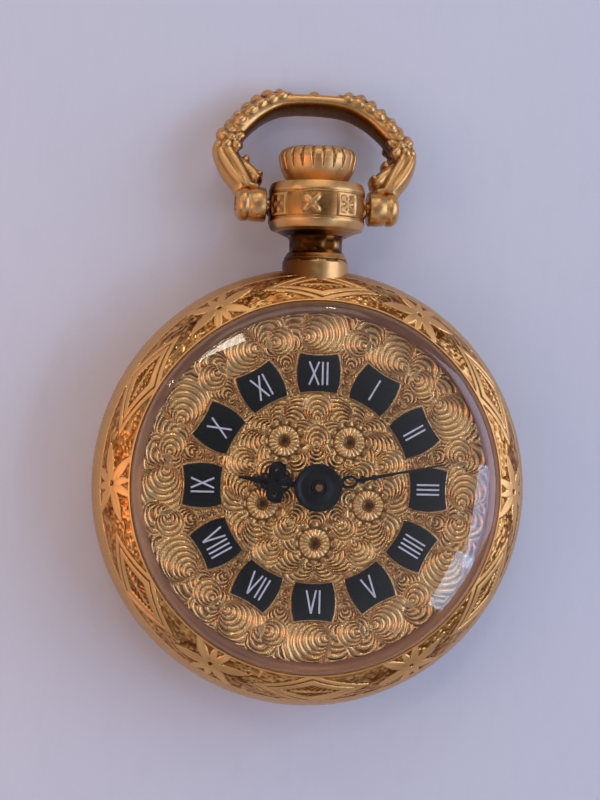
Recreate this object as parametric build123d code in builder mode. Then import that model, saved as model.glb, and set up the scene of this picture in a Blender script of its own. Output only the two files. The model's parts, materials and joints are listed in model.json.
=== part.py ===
from build123d import *
from math import atan2, cos, degrees, radians, sin, sqrt
import os

os.makedirs("parts", exist_ok=True)

# A ladies' fob watch lying on its back. The origin is the middle of the flat case back,
# +Z comes out of the dial, +Y points to twelve o'clock and the crown, +X to three o'clock.
# Millimetres throughout.

# ---------------------------------------------------------------- driving dimensions
CASE_RADIUS = 13.5
STEM_HEIGHT = 3.65
BACK_FLAT_RADIUS = 8.5
BACK_SEAM_RADIUS = 12.85
BACK_SEAM_HEIGHT = 2.2
BEZEL_SEAM_RADIUS = 13.1
BEZEL_SEAM_HEIGHT = 5.1
BEZEL_LIP_RADIUS = 11.4
BEZEL_LIP_HEIGHT = 6.7
BACK_BELLY = (11.3, 0.75)
BEZEL_BELLY = (12.45, 6.08)
WALL = 0.5

CRYSTAL_RADIUS = 11.35
CRYSTAL_SEAT = 5.85
CRYSTAL_WALL = 0.75
CRYSTAL_SHOULDER = 7.3
CRYSTAL_TOP = 8.7

DIAL_RADIUS = 10.9
DIAL_BOTTOM = 5.4
DIAL_TOP = 5.8
NUMERAL_RADIUS = 6.9

PLATE_RADIUS = 8.6
PLATE_BOTTOM = 4.1
MOTION_FLOOR = 4.55
BRIDGE_BOTTOM = 2.6
BRIDGE_FACE = 1.9
RIM_INNER_RADIUS = 8.1

COLLAR_RADIUS = 3.15
COLLAR_START = 15.9
COLLAR_END = 18.74
NECK_RADIUS = 1.7
CROWN_RADIUS = 2.4
CROWN_START = 18.8
CROWN_END = 21.1

BOW_PIVOT_Y = 17.4
BOW_DROOP = 18.5
BOW_DEPTH = 2.0
LUG_RADIUS = 1.08
LUG_INNER = 3.25
LUG_OUTER = 5.1

HOUR_ANGLE = 276.5
MINUTE_ANGLE = 78.7

RUNNING = 0.03
FIT = 0.02
PIVOT_RADIUS = 0.06
JEWEL_RADIUS = 0.4
JEWEL_DEPTH = 0.4

# ---------------------------------------------------------------- gear train
BARREL_TEETH, CENTRE_PINION, BARREL_MODULE = 78, 10, 0.085
CENTRE_TEETH, THIRD_PINION, CENTRE_MODULE = 64, 8, 0.09
THIRD_TEETH, FOURTH_PINION, THIRD_MODULE = 60, 8, 0.08
FOURTH_TEETH, ESCAPE_PINION, FOURTH_MODULE = 70, 7, 0.07
ESCAPE_TEETH, ESCAPE_RADIUS = 15, 1.2
RATCHET_TEETH, CROWN_WHEEL_TEETH, WINDING_TEETH, WINDING_MODULE = 48, 34, 22, 0.11
MINUTE_TEETH, CANNON_TEETH, SETTING_TEETH, MINUTE_MODULE = 36, 12, 20, 0.075
HOUR_TEETH, MINUTE_PINION, HOUR_MODULE = 40, 10, 0.072
DRUM_RADIUS = 3.15
BALANCE_RADIUS = 2.6

# Directions of the line of centres of each pair, in degrees from three o'clock.
BARREL_WAY = 25.0
THIRD_WAY = -85.0
FOURTH_WAY = -135.0
ESCAPE_WAY = 147.0
LEVER_WAY = 118.5
MINUTE_WAY = 90.0
CLICK_WAY = 36.0

BASE = (Align.CENTER, Align.CENTER, Align.MIN)


def step_from(start, distance, way):
    """The point at a distance from start, in a direction in degrees."""
    return (start[0] + distance * cos(radians(way)), start[1] + distance * sin(radians(way)))


def spacing(teeth, other_teeth, module):
    """The distance between the centres of two meshed wheels."""
    return (teeth + other_teeth) * module / 2


CENTRE = (0.0, 0.0)
BARREL = step_from(CENTRE, spacing(BARREL_TEETH, CENTRE_PINION, BARREL_MODULE), BARREL_WAY)
THIRD = step_from(CENTRE, spacing(CENTRE_TEETH, THIRD_PINION, CENTRE_MODULE), THIRD_WAY)
FOURTH = step_from(THIRD, spacing(THIRD_TEETH, FOURTH_PINION, THIRD_MODULE), FOURTH_WAY)
ESCAPE = step_from(FOURTH, spacing(FOURTH_TEETH, ESCAPE_PINION, FOURTH_MODULE), ESCAPE_WAY)
PALLET = step_from(ESCAPE, ESCAPE_RADIUS / cos(radians(30)), LEVER_WAY)
BALANCE = step_from(PALLET, 2.3, LEVER_WAY)
MINUTE = step_from(CENTRE, spacing(MINUTE_TEETH, CANNON_TEETH, MINUTE_MODULE), MINUTE_WAY)
SETTING = step_from(MINUTE, spacing(MINUTE_TEETH, SETTING_TEETH, MINUTE_MODULE), MINUTE_WAY)
RATCHET_SPACING = spacing(RATCHET_TEETH, CROWN_WHEEL_TEETH, WINDING_MODULE)
CROWN_WHEEL = (0.0, BARREL[1] + sqrt(RATCHET_SPACING**2 - BARREL[0] ** 2))
CROWN_WHEEL_RADIUS = CROWN_WHEEL_TEETH * WINDING_MODULE / 2

# Heights of the wheels, low and high face.
CENTRE_WHEEL_Z = (2.70, 2.85)
FOURTH_WHEEL_Z = (3.05, 3.20)
THIRD_WHEEL_Z = (3.62, 3.76)
BARREL_TEETH_Z = (3.90, 4.05)
DRUM_Z = (2.95, 4.05)
ESCAPE_WHEEL_Z = (3.60, 3.75)
PALLET_BRIDGE_Z = (3.15, 3.42)
BALANCE_RIM_Z = (2.72, 2.98)
HAIRSPRING_Z = (2.47, 2.58)
COCK_Z = (1.9, 2.4)
KEYLESS_Z = (4.65, 4.80)
HOUR_WHEEL_Z = (5.0, 5.12)

# ---------------------------------------------------------------- shared shapes


def disc(centre, radius, low, high, mode=Mode.ADD):
    """A round of the open part, standing along Z."""
    with Locations((centre[0], centre[1], low)):
        Cylinder(radius, high - low, align=BASE, mode=mode)


def block(centre, width, depth, low, high, turn=0, mode=Mode.ADD):
    """An upright block of the open part, turned about its own middle."""
    with Locations(Location((centre[0], centre[1], low), (0, 0, turn))):
        Box(width, depth, high - low, align=BASE, mode=mode)


def along_stem(radius, start, end, mode=Mode.ADD):
    """A round on the stem's axis, from one Y to another."""
    with Locations(Location((0, start, STEM_HEIGHT), (-90, 0, 0))):
        Cylinder(radius, end - start, align=BASE, mode=mode)


def tooth_points(teeth, module, phase, tip_share=0.30, root_share=0.62):
    """The outline of a toothed wheel: a tooth points in the direction of phase."""
    pitch_radius = teeth * module / 2
    root_radius = pitch_radius - 1.25 * module
    tip_radius = pitch_radius + 0.9 * module
    step = 360 / teeth
    points = []
    for tooth in range(teeth):
        middle = phase + tooth * step
        for radius, offset in (
            (root_radius, -root_share / 2),
            (tip_radius, -tip_share / 2),
            (tip_radius, tip_share / 2),
            (root_radius, root_share / 2),
        ):
            points.append(step_from((0, 0), radius, middle + offset * step))
    return points


def toothed(centre, teeth, module, heights, phase=0.0):
    """A toothed round of the open part."""
    with BuildSketch(Plane.XY.offset(heights[0])) as face:
        with Locations(centre):
            Polygon(*tooth_points(teeth, module, phase), align=None)
    extrude(face.sketch, amount=heights[1] - heights[0])


def gap_phase(way, teeth):
    """The phase that turns a gap, not a tooth, back along the line of centres."""
    return way + 180 + 180 / teeth


def spokes(centre, count, outer, inner, heights, width, turn=0.0):
    """Cuts a web into spokes: windows between an outer and an inner radius."""
    with BuildSketch(Plane.XY.offset(heights[0])) as windows:
        with Locations(centre):
            Circle(outer)
            Circle(inner, mode=Mode.SUBTRACT)
        with Locations(*[Location((*centre, 0), (0, 0, turn + 360 * n / count)) for n in range(count)]):
            Rectangle(outer * 1.1, width, align=(Align.MIN, Align.CENTER), mode=Mode.SUBTRACT)
    extrude(windows.sketch, amount=heights[1] - heights[0], mode=Mode.SUBTRACT)


def hull_plate(circles, low, high, mode=Mode.ADD):
    """A flat lever or bar: straight sides joining circles given as (centre, radius)."""
    with BuildSketch(Plane.XY.offset(low)) as face:
        for centre, radius in circles:
            with Locations(centre):
                Circle(radius)
        make_hull()
    extrude(face.sketch, amount=high - low, mode=mode)


def dome_middle(edge_radius, edge_height, top_height):
    """The point halfway along a spherical dome's profile, from its edge to its top."""
    rise = top_height - edge_height
    sphere = (edge_radius**2 + rise**2) / (2 * rise)
    return (edge_radius / 2, top_height - sphere + sqrt(sphere**2 - edge_radius**2 / 4))


def save(part, name):
    """Labels a finished part and writes it."""
    part.label = name
    export_step(part, f"parts/{name}.step")


# ---------------------------------------------------------------- case
BACK_SEAM = (BACK_SEAM_RADIUS, BACK_SEAM_HEIGHT)
BEZEL_SEAM = (BEZEL_SEAM_RADIUS, BEZEL_SEAM_HEIGHT)
BEZEL_LIP = (BEZEL_LIP_RADIUS, BEZEL_LIP_HEIGHT)

# The outer envelope, as a full solid, shapes the neck's foot where it meets the case.
with BuildPart() as envelope:
    with BuildSketch(Plane.XZ):
        with BuildLine():
            Line((0, 0), (BACK_FLAT_RADIUS, 0))
            ThreePointArc((BACK_FLAT_RADIUS, 0), BACK_BELLY, BACK_SEAM)
            ThreePointArc(BACK_SEAM, (CASE_RADIUS, STEM_HEIGHT), BEZEL_SEAM)
            ThreePointArc(BEZEL_SEAM, BEZEL_BELLY, BEZEL_LIP)
            Line(BEZEL_LIP, (0, BEZEL_LIP_HEIGHT))
            Line((0, BEZEL_LIP_HEIGHT), (0, 0))
        make_face()
    revolve(axis=Axis.Z)

MIDDLE_BORE = 11.25
SKIRT_RADIUS = 12.0
BACK_RIM_HEIGHT = 2.7
SKIRT_HEIGHT = 4.6
STEM_TUBE_RADIUS = 1.0
BACK_RIM_BORE = 11.4
BACK_RIM_ROOT = 1.7

with BuildPart() as case_back:
    with BuildSketch(Plane.XZ):
        with BuildLine():
            Line((0, 0), (BACK_FLAT_RADIUS, 0))
            ThreePointArc((BACK_FLAT_RADIUS, 0), BACK_BELLY, BACK_SEAM)
            Polyline(
                BACK_SEAM,
                (SKIRT_RADIUS - FIT, BACK_SEAM_HEIGHT),
                (SKIRT_RADIUS - FIT, BACK_RIM_HEIGHT - FIT),
                (BACK_RIM_BORE, BACK_RIM_HEIGHT - FIT),
                (BACK_RIM_BORE, BACK_RIM_ROOT),
            )
            ThreePointArc((BACK_RIM_BORE, BACK_RIM_ROOT), (10.3, 0.95), (BACK_FLAT_RADIUS - 0.1, WALL))
            Line((BACK_FLAT_RADIUS - 0.1, WALL), (0, WALL))
            Line((0, WALL), (0, 0))
        make_face()
    revolve(axis=Axis.Z)
save(case_back.part, "case_back")

with BuildPart() as case_middle:
    with BuildSketch(Plane.XZ):
        with BuildLine():
            ThreePointArc(BACK_SEAM, (CASE_RADIUS, STEM_HEIGHT), BEZEL_SEAM)
            Polyline(
                BEZEL_SEAM,
                (SKIRT_RADIUS, BEZEL_SEAM_HEIGHT),
                (SKIRT_RADIUS, SKIRT_HEIGHT),
                (MIDDLE_BORE, SKIRT_HEIGHT),
                (MIDDLE_BORE, BACK_RIM_HEIGHT),
                (SKIRT_RADIUS, BACK_RIM_HEIGHT),
                (SKIRT_RADIUS, BACK_SEAM_HEIGHT),
                BACK_SEAM,
            )
        make_face()
    revolve(axis=Axis.Z)
    along_stem(STEM_TUBE_RADIUS, MIDDLE_BORE - 0.6, CASE_RADIUS + 0.5, Mode.SUBTRACT)
save(case_middle.part, "case_middle")

ORNAMENT_RADIUS = 12.42
ORNAMENT_HEIGHT = 6.13
ORNAMENT_DEPTH = 0.16
LOZENGE_LENGTH = 4.4
LOZENGE_WIDTH = 1.0
PETALS = 8
with BuildPart() as bezel:
    with BuildSketch(Plane.XZ):
        with BuildLine():
            ThreePointArc(BEZEL_SEAM, BEZEL_BELLY, BEZEL_LIP)
            Polyline(
                BEZEL_LIP,
                (CRYSTAL_RADIUS, BEZEL_LIP_HEIGHT),
                (CRYSTAL_RADIUS, CRYSTAL_SEAT),
                (DIAL_RADIUS + 0.1, CRYSTAL_SEAT),
                (DIAL_RADIUS + 0.1, DIAL_BOTTOM + FIT),
                (MIDDLE_BORE + 0.1, DIAL_BOTTOM + FIT),
                (MIDDLE_BORE + 0.1, SKIRT_HEIGHT + FIT),
                (SKIRT_RADIUS - FIT, SKIRT_HEIGHT + FIT),
                (SKIRT_RADIUS - FIT, BEZEL_SEAM_HEIGHT),
                BEZEL_SEAM,
            )
        make_face()
    revolve(axis=Axis.Z)
    # Twelve engraved motifs: lozenges at the even hours, flowers at the odd hours.
    for hour in range(12):
        way = 90 - 30 * hour
        place = step_from(CENTRE, ORNAMENT_RADIUS, way)
        tilted = Plane(
            origin=(place[0], place[1], ORNAMENT_HEIGHT),
            x_dir=(-sin(radians(way)), cos(radians(way)), 0),
            z_dir=(cos(radians(way)) * 0.6, sin(radians(way)) * 0.6, 0.8),
        )
        with BuildSketch(tilted) as motif:
            if hour % 2 == 0:
                Polygon(
                    (-LOZENGE_LENGTH / 2, 0),
                    (0, -LOZENGE_WIDTH / 2),
                    (LOZENGE_LENGTH / 2, 0),
                    (0, LOZENGE_WIDTH / 2),
                    align=None,
                )
            else:
                with PolarLocations(0.1, PETALS):
                    Ellipse(0.42, 0.11)
        extrude(motif.sketch, amount=-ORNAMENT_DEPTH, mode=Mode.SUBTRACT)
save(bezel.part, "bezel")

CRYSTAL_INSIDE = CRYSTAL_TOP - CRYSTAL_WALL
CRYSTAL_SIDE_TOP = CRYSTAL_SHOULDER - 0.35
CRYSTAL_BORE = CRYSTAL_RADIUS - CRYSTAL_WALL
OUTER_DOME = (10.6, 7.45)
INNER_DOME = (10.1, 6.85)
INNER_SIDE_TOP = 6.3
with BuildPart() as crystal:
    with BuildSketch(Plane.XZ):
        with BuildLine():
            Line((CRYSTAL_RADIUS, CRYSTAL_SEAT), (CRYSTAL_RADIUS, CRYSTAL_SIDE_TOP))
            ThreePointArc((CRYSTAL_RADIUS, CRYSTAL_SIDE_TOP), (11.1, 7.15), OUTER_DOME)
            ThreePointArc(OUTER_DOME, dome_middle(*OUTER_DOME, CRYSTAL_TOP), (0, CRYSTAL_TOP))
            Line((0, CRYSTAL_TOP), (0, CRYSTAL_INSIDE))
            ThreePointArc((0, CRYSTAL_INSIDE), dome_middle(*INNER_DOME, CRYSTAL_INSIDE), INNER_DOME)
            ThreePointArc(INNER_DOME, (10.48, 6.66), (CRYSTAL_BORE, INNER_SIDE_TOP))
            Polyline(
                (CRYSTAL_BORE, INNER_SIDE_TOP),
                (CRYSTAL_BORE, CRYSTAL_SEAT),
                (CRYSTAL_RADIUS, CRYSTAL_SEAT),
            )
        make_face()
    revolve(axis=Axis.Z)
save(crystal.part, "crystal")

# ---------------------------------------------------------------- pendant, crown and bow
STEM_AXIS = Axis((0, 0, STEM_HEIGHT), (0, 1, 0))
TUBE_BORE = 0.75
NECK_FOOT = 12.2
NECK_FOOT_RADIUS = NECK_RADIUS + 0.35
NECK_RING_END = 14.05
COLLAR_EDGE = 2.85
BOW_SCREW_SEAT = 1.95
with BuildPart() as pendant:
    with BuildSketch(Plane.XY.offset(STEM_HEIGHT)):
        with BuildLine():
            Line((TUBE_BORE, NECK_FOOT), (NECK_FOOT_RADIUS, NECK_FOOT))
            Line((NECK_FOOT_RADIUS, NECK_FOOT), (NECK_FOOT_RADIUS, NECK_RING_END))
            ThreePointArc((NECK_FOOT_RADIUS, NECK_RING_END), (NECK_RADIUS, 14.75), (NECK_RADIUS + 0.1, 15.45))
            ThreePointArc((NECK_RADIUS + 0.1, 15.45), (2.35, 15.72), (COLLAR_EDGE, COLLAR_START))
            ThreePointArc((COLLAR_EDGE, COLLAR_START), (COLLAR_RADIUS, 17.3), (COLLAR_EDGE, COLLAR_END))
            Polyline((COLLAR_EDGE, COLLAR_END), (TUBE_BORE, COLLAR_END), (TUBE_BORE, NECK_FOOT))
        make_face()
    revolve(axis=STEM_AXIS)
    add(envelope.part, mode=Mode.SUBTRACT)
    # Tenon in the case middle, and the blind holes for the bow screws.
    along_stem(STEM_TUBE_RADIUS - 0.01, MIDDLE_BORE + 0.25, MIDDLE_BORE + 3.75)
    along_stem(TUBE_BORE, MIDDLE_BORE, COLLAR_END + 0.1, Mode.SUBTRACT)
    for side in (-1, 1):
        with Locations(Location((side * BOW_SCREW_SEAT, BOW_PIVOT_Y, STEM_HEIGHT), (0, side * 90, 0))):
            Cylinder(0.45, 2.0, align=BASE, mode=Mode.SUBTRACT)
save(pendant.part, "pendant")

FLUTES = 22
FLUTE_START = 19.65
CROWN_BELLY = (CROWN_RADIUS, 20.15)
CROWN_RIM = (1.95, CROWN_END - 0.1)
with BuildPart() as crown:
    with BuildSketch(Plane.XY.offset(STEM_HEIGHT)):
        with BuildLine():
            Line((0, CROWN_START), (1.8, CROWN_START))
            ThreePointArc((1.8, CROWN_START), (2.2, 19.45), CROWN_BELLY)
            ThreePointArc(CROWN_BELLY, (2.32, 20.75), CROWN_RIM)
            ThreePointArc(CROWN_RIM, dome_middle(*CROWN_RIM, CROWN_END), (0, CROWN_END))
            Line((0, CROWN_END), (0, CROWN_START))
        make_face()
    revolve(axis=STEM_AXIS)
    with Locations(Location((0, FLUTE_START, STEM_HEIGHT), (-90, 0, 0))):
        with PolarLocations(CROWN_RADIUS + 0.14, FLUTES, start_angle=180 / FLUTES):
            Cylinder(0.25, 2.0, align=BASE, mode=Mode.SUBTRACT)
    along_stem(0.35, CROWN_START - 0.1, 20.3, Mode.SUBTRACT)
save(crown.part, "crown")

BOW_PLANE = Plane(
    origin=(0, BOW_PIVOT_Y, STEM_HEIGHT),
    x_dir=(1, 0, 0),
    z_dir=(0, sin(radians(BOW_DROOP)), cos(radians(BOW_DROOP))),
)
# Right half of the bow in its own plane, from the top middle down to the lug.
BOW_OUTER = [(0, 7.95), (2.6, 7.75), (4.0, 7.0), (5.6, 5.4), (6.45, 4.1), (6.2, 2.9), (5.1, 1.2), (5.1, 0)]
BOW_INNER = [(0, 7.25), (2.2, 7.0), (3.6, 6.3), (4.7, 5.0), (5.0, 4.0), (4.7, 2.9), (3.9, 2.2), (3.9, 0)]
LUG_SCREW_RADIUS = 0.4
BOW_BEADS = ((0, 7.62, 0.36), (3.1, 7.15, 0.52), (5.65, 4.15, 0.7), (4.42, 2.05, 0.45))
with BuildPart() as bow:
    with BuildSketch(BOW_PLANE.offset(-BOW_DEPTH / 2)):
        with BuildLine():
            Polyline(*BOW_OUTER, *reversed(BOW_INNER), close=True)
        make_face()
        mirror(about=Plane.YZ)
    extrude(amount=BOW_DEPTH)
    for side in (-1, 1):
        with Locations(Location((side * LUG_INNER, BOW_PIVOT_Y, STEM_HEIGHT), (0, side * 90, 0))):
            Cylinder(LUG_RADIUS, LUG_OUTER - LUG_INNER, align=BASE)
        with Locations(Location((side * (LUG_INNER - 0.1), BOW_PIVOT_Y, STEM_HEIGHT), (0, side * 90, 0))):
            Cylinder(LUG_SCREW_RADIUS + RUNNING, LUG_OUTER - 2.1, align=BASE, mode=Mode.SUBTRACT)
    # The cast ornament: a bead in the middle, clusters, corner volutes and scrolls.
    for x, y, bead in BOW_BEADS:
        for side in (-1, 1) if x else (1,):
            with Locations(BOW_PLANE.offset(BOW_DEPTH / 2 - 0.22).location * Location((side * x, y, 0))):
                Sphere(bead)
save(bow.part, "bow")

BOW_SCREW_TIP = 2.0
with BuildPart() as bow_screws:
    for side in (-1, 1):
        with Locations(Location((side * BOW_SCREW_TIP, BOW_PIVOT_Y, STEM_HEIGHT), (0, side * 90, 0))):
            Cylinder(LUG_SCREW_RADIUS, LUG_OUTER - 0.05 - BOW_SCREW_TIP, align=BASE)
        with Locations((side * (LUG_OUTER - 0.05), BOW_PIVOT_Y, STEM_HEIGHT)):
            Box(0.2, 0.14, 1.0, mode=Mode.SUBTRACT)
save(bow_screws.part, "bow_screws")

# ---------------------------------------------------------------- dial side
RING_OUTER = 11.2
RING_TOP = 5.38
with BuildPart() as movement_ring:
    disc(CENTRE, RING_OUTER, BRIDGE_BOTTOM, RING_TOP)
    disc(CENTRE, PLATE_RADIUS + 0.05, BRIDGE_BOTTOM, RING_TOP, Mode.SUBTRACT)
    along_stem(TUBE_BORE, PLATE_RADIUS - 0.5, RING_OUTER + 0.5, Mode.SUBTRACT)
save(movement_ring.part, "movement_ring")

DIAL_FOOT_RADIUS = 0.35
DIAL_FEET = [step_from(CENTRE, 7.6, 140), step_from(CENTRE, 7.6, -40)]
DIAL_FOOT_TIP = PLATE_BOTTOM + 0.4
ROSETTES = 5
ROSETTE_DISTANCE = 3.4
ROSETTE_RADIUS = 0.7
ROSETTE_DEPTH = 0.1
with BuildPart() as dial:
    disc(CENTRE, DIAL_RADIUS, DIAL_BOTTOM, DIAL_TOP)
    for foot in DIAL_FEET:
        disc(foot, DIAL_FOOT_RADIUS, DIAL_FOOT_TIP, DIAL_BOTTOM)
    disc(CENTRE, 0.75, DIAL_BOTTOM, DIAL_TOP, Mode.SUBTRACT)
    # Five sunk rosettes round the middle.
    for rosette in range(ROSETTES):
        spot = step_from(CENTRE, ROSETTE_DISTANCE, 54 + rosette * 360 / ROSETTES)
        disc(spot, ROSETTE_RADIUS, DIAL_TOP - ROSETTE_DEPTH, DIAL_TOP, Mode.SUBTRACT)
save(dial.part, "dial")

CARTOUCHE_WIDTH = 2.6
CARTOUCHE_HEIGHT = 2.3
CARTOUCHE_CORNER = 0.5
CARTOUCHE_THICKNESS = 0.12
with BuildPart() as numeral_cartouches:
    for hour in range(12):
        way = 90 - 30 * hour
        with BuildSketch(Plane.XY.offset(DIAL_TOP)) as tablet:
            with Locations(Location((*step_from(CENTRE, NUMERAL_RADIUS, way), 0), (0, 0, way - 90))):
                RectangleRounded(CARTOUCHE_WIDTH, CARTOUCHE_HEIGHT, CARTOUCHE_CORNER)
        extrude(tablet.sketch, amount=CARTOUCHE_THICKNESS)
save(numeral_cartouches.part, "numeral_cartouches")

HOUR_HAND_Z = (6.05, 6.17)
MINUTE_HAND_Z = (6.45, 6.57)
HOUR_PIPE_RADIUS = 0.62
CANNON_PIPE_RADIUS = 0.42


def hand_shape(clock_angle, hub_radius, bars, eyes, bore, heights):
    """A flat hand: bars along its length, and eyes given as (distance, aside, radius, opening)."""
    way = 90 - clock_angle
    rings = []
    for distance, aside, radius, opening in eyes:
        for side in (-1, 1) if aside else (1,):
            spot = step_from(step_from(CENTRE, distance, way), side * aside, way + 90)
            rings.append((spot, radius, opening))
    with BuildSketch(Plane.XY.offset(heights[0])) as face:
        Circle(hub_radius)
        for near, near_width, far, far_width in bars:
            with Locations(Location((0, 0, 0), (0, 0, way))):
                Polygon(
                    (near, -near_width / 2),
                    (far, -far_width / 2),
                    (far, far_width / 2),
                    (near, near_width / 2),
                    align=None,
                )
        for spot, radius, _ in rings:
            with Locations(spot):
                Circle(radius)
        for spot, _, opening in rings:
            with Locations(spot):
                Circle(opening, mode=Mode.SUBTRACT)
        Circle(bore, mode=Mode.SUBTRACT)
    extrude(face.sketch, amount=heights[1] - heights[0])


with BuildPart() as hour_hand:
    hand_shape(
        HOUR_ANGLE,
        1.0,
        [(0.6, 0.5, 2.2, 0.35), (2.0, 0.8, 3.6, 0.3), (3.5, 0.34, 4.8, 0.06)],
        [(2.75, 0.42, 0.42, 0.26), (3.45, 0, 0.3, 0.16)],
        HOUR_PIPE_RADIUS + 0.01,
        HOUR_HAND_Z,
    )
save(hour_hand.part, "hour_hand")

with BuildPart() as minute_hand:
    hand_shape(
        MINUTE_ANGLE,
        1.1,
        [(0.8, 0.45, 2.9, 0.3), (2.7, 0.42, 8.0, 0.06)],
        [(2.1, 0.26, 0.3, 0.17)],
        CANNON_PIPE_RADIUS + 0.01,
        MINUTE_HAND_Z,
    )
save(minute_hand.part, "minute_hand")

BOSS_RADIUS = 1.45
BOSS_FLOOR = 6.68
BOSS_TOP = 6.8
BOSS_RIM = 0.18
with BuildPart() as minute_hand_boss:
    disc(CENTRE, BOSS_RADIUS, MINUTE_HAND_Z[1], BOSS_TOP)
    disc(CENTRE, BOSS_RADIUS - BOSS_RIM, BOSS_FLOOR, BOSS_TOP, Mode.SUBTRACT)
    disc(CENTRE, CANNON_PIPE_RADIUS + 0.01, MINUTE_HAND_Z[1], BOSS_TOP, Mode.SUBTRACT)
save(minute_hand_boss.part, "minute_hand_boss")

ARBOR_TOP_RADIUS = 0.22
CANNON_Z = (4.6, 4.95)
CANNON_TOP = 6.85
with BuildPart() as cannon_pinion:
    toothed(CENTRE, CANNON_TEETH, MINUTE_MODULE, CANNON_Z, gap_phase(-MINUTE_WAY, CANNON_TEETH))
    disc(CENTRE, CANNON_PIPE_RADIUS, CANNON_Z[0], CANNON_TOP)
    disc(CENTRE, ARBOR_TOP_RADIUS + FIT, CANNON_Z[0], CANNON_TOP, Mode.SUBTRACT)
save(cannon_pinion.part, "cannon_pinion")

HOUR_PIPE_Z = (HOUR_WHEEL_Z[0], HOUR_HAND_Z[1] + 0.03)
with BuildPart() as hour_wheel:
    toothed(CENTRE, HOUR_TEETH, HOUR_MODULE, HOUR_WHEEL_Z, MINUTE_WAY)
    disc(CENTRE, HOUR_PIPE_RADIUS, *HOUR_PIPE_Z)
    disc(CENTRE, CANNON_PIPE_RADIUS + RUNNING, *HOUR_PIPE_Z, Mode.SUBTRACT)
save(hour_wheel.part, "hour_wheel")

STUD_RADIUS = 0.2
MINUTE_STUD_TOP = 5.2
with BuildPart() as minute_wheel:
    toothed(MINUTE, MINUTE_TEETH, MINUTE_MODULE, KEYLESS_Z, -MINUTE_WAY)
    pinion_heights = (KEYLESS_Z[1], MINUTE_STUD_TOP)
    toothed(MINUTE, MINUTE_PINION, HOUR_MODULE, pinion_heights, gap_phase(MINUTE_WAY, MINUTE_PINION))
    disc(MINUTE, STUD_RADIUS + RUNNING, KEYLESS_Z[0], MINUTE_STUD_TOP, Mode.SUBTRACT)
save(minute_wheel.part, "minute_wheel")

SETTING_Z = (4.45, 4.80)
SETTING_FLOOR = 4.40
with BuildPart() as setting_wheel:
    toothed(SETTING, SETTING_TEETH, MINUTE_MODULE, SETTING_Z, gap_phase(MINUTE_WAY, SETTING_TEETH))
    disc(SETTING, STUD_RADIUS + RUNNING, *SETTING_Z, Mode.SUBTRACT)
save(setting_wheel.part, "setting_wheel")

# ---------------------------------------------------------------- main plate
TRAIN_PIVOTS = [THIRD, FOURTH, ESCAPE]
BARREL_SCREWS = [step_from(CENTRE, 7.4, 56), step_from(CENTRE, 7.25, 118), step_from(CENTRE, 7.45, -4)]
TRAIN_SCREWS = [step_from(CENTRE, 7.36, -47), step_from(CENTRE, 7.45, -70), step_from(CENTRE, 7.55, 220.5)]
COCK_FOOT = (-6.06, 3.5)
COCK_FOOT_RADIUS = 1.1
BRIDGE_SCREW_SPOTS = BARREL_SCREWS + TRAIN_SCREWS + [COCK_FOOT]
CLAMP_WAYS = [132.0, -26.0]
CLAMP_SCREW_DISTANCE = 7.55
SHANK_RADIUS = 0.25
PILLAR_RADIUS = 0.6
PALLET_BRIDGE_WAY = LEVER_WAY - 90
PALLET_FEET = [step_from(PALLET, 1.9, PALLET_BRIDGE_WAY), step_from(PALLET, -1.9, PALLET_BRIDGE_WAY)]
LEVER_PIVOT = (-1.7, 6.9)
LEVER_PIN = (0.0, 7.35)
YOKE_PIVOT = (-2.6, 4.2)
YOKE_FINGER = (0.0, 5.33)
ARBOR_HOLE = 0.3
PALLET_SCREW_RADIUS = 0.15
LEVER_SCREW_RADIUS = 0.18
LEVER_SCREW_TIP = 4.2
LEVER_SEAT = 5.03

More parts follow.
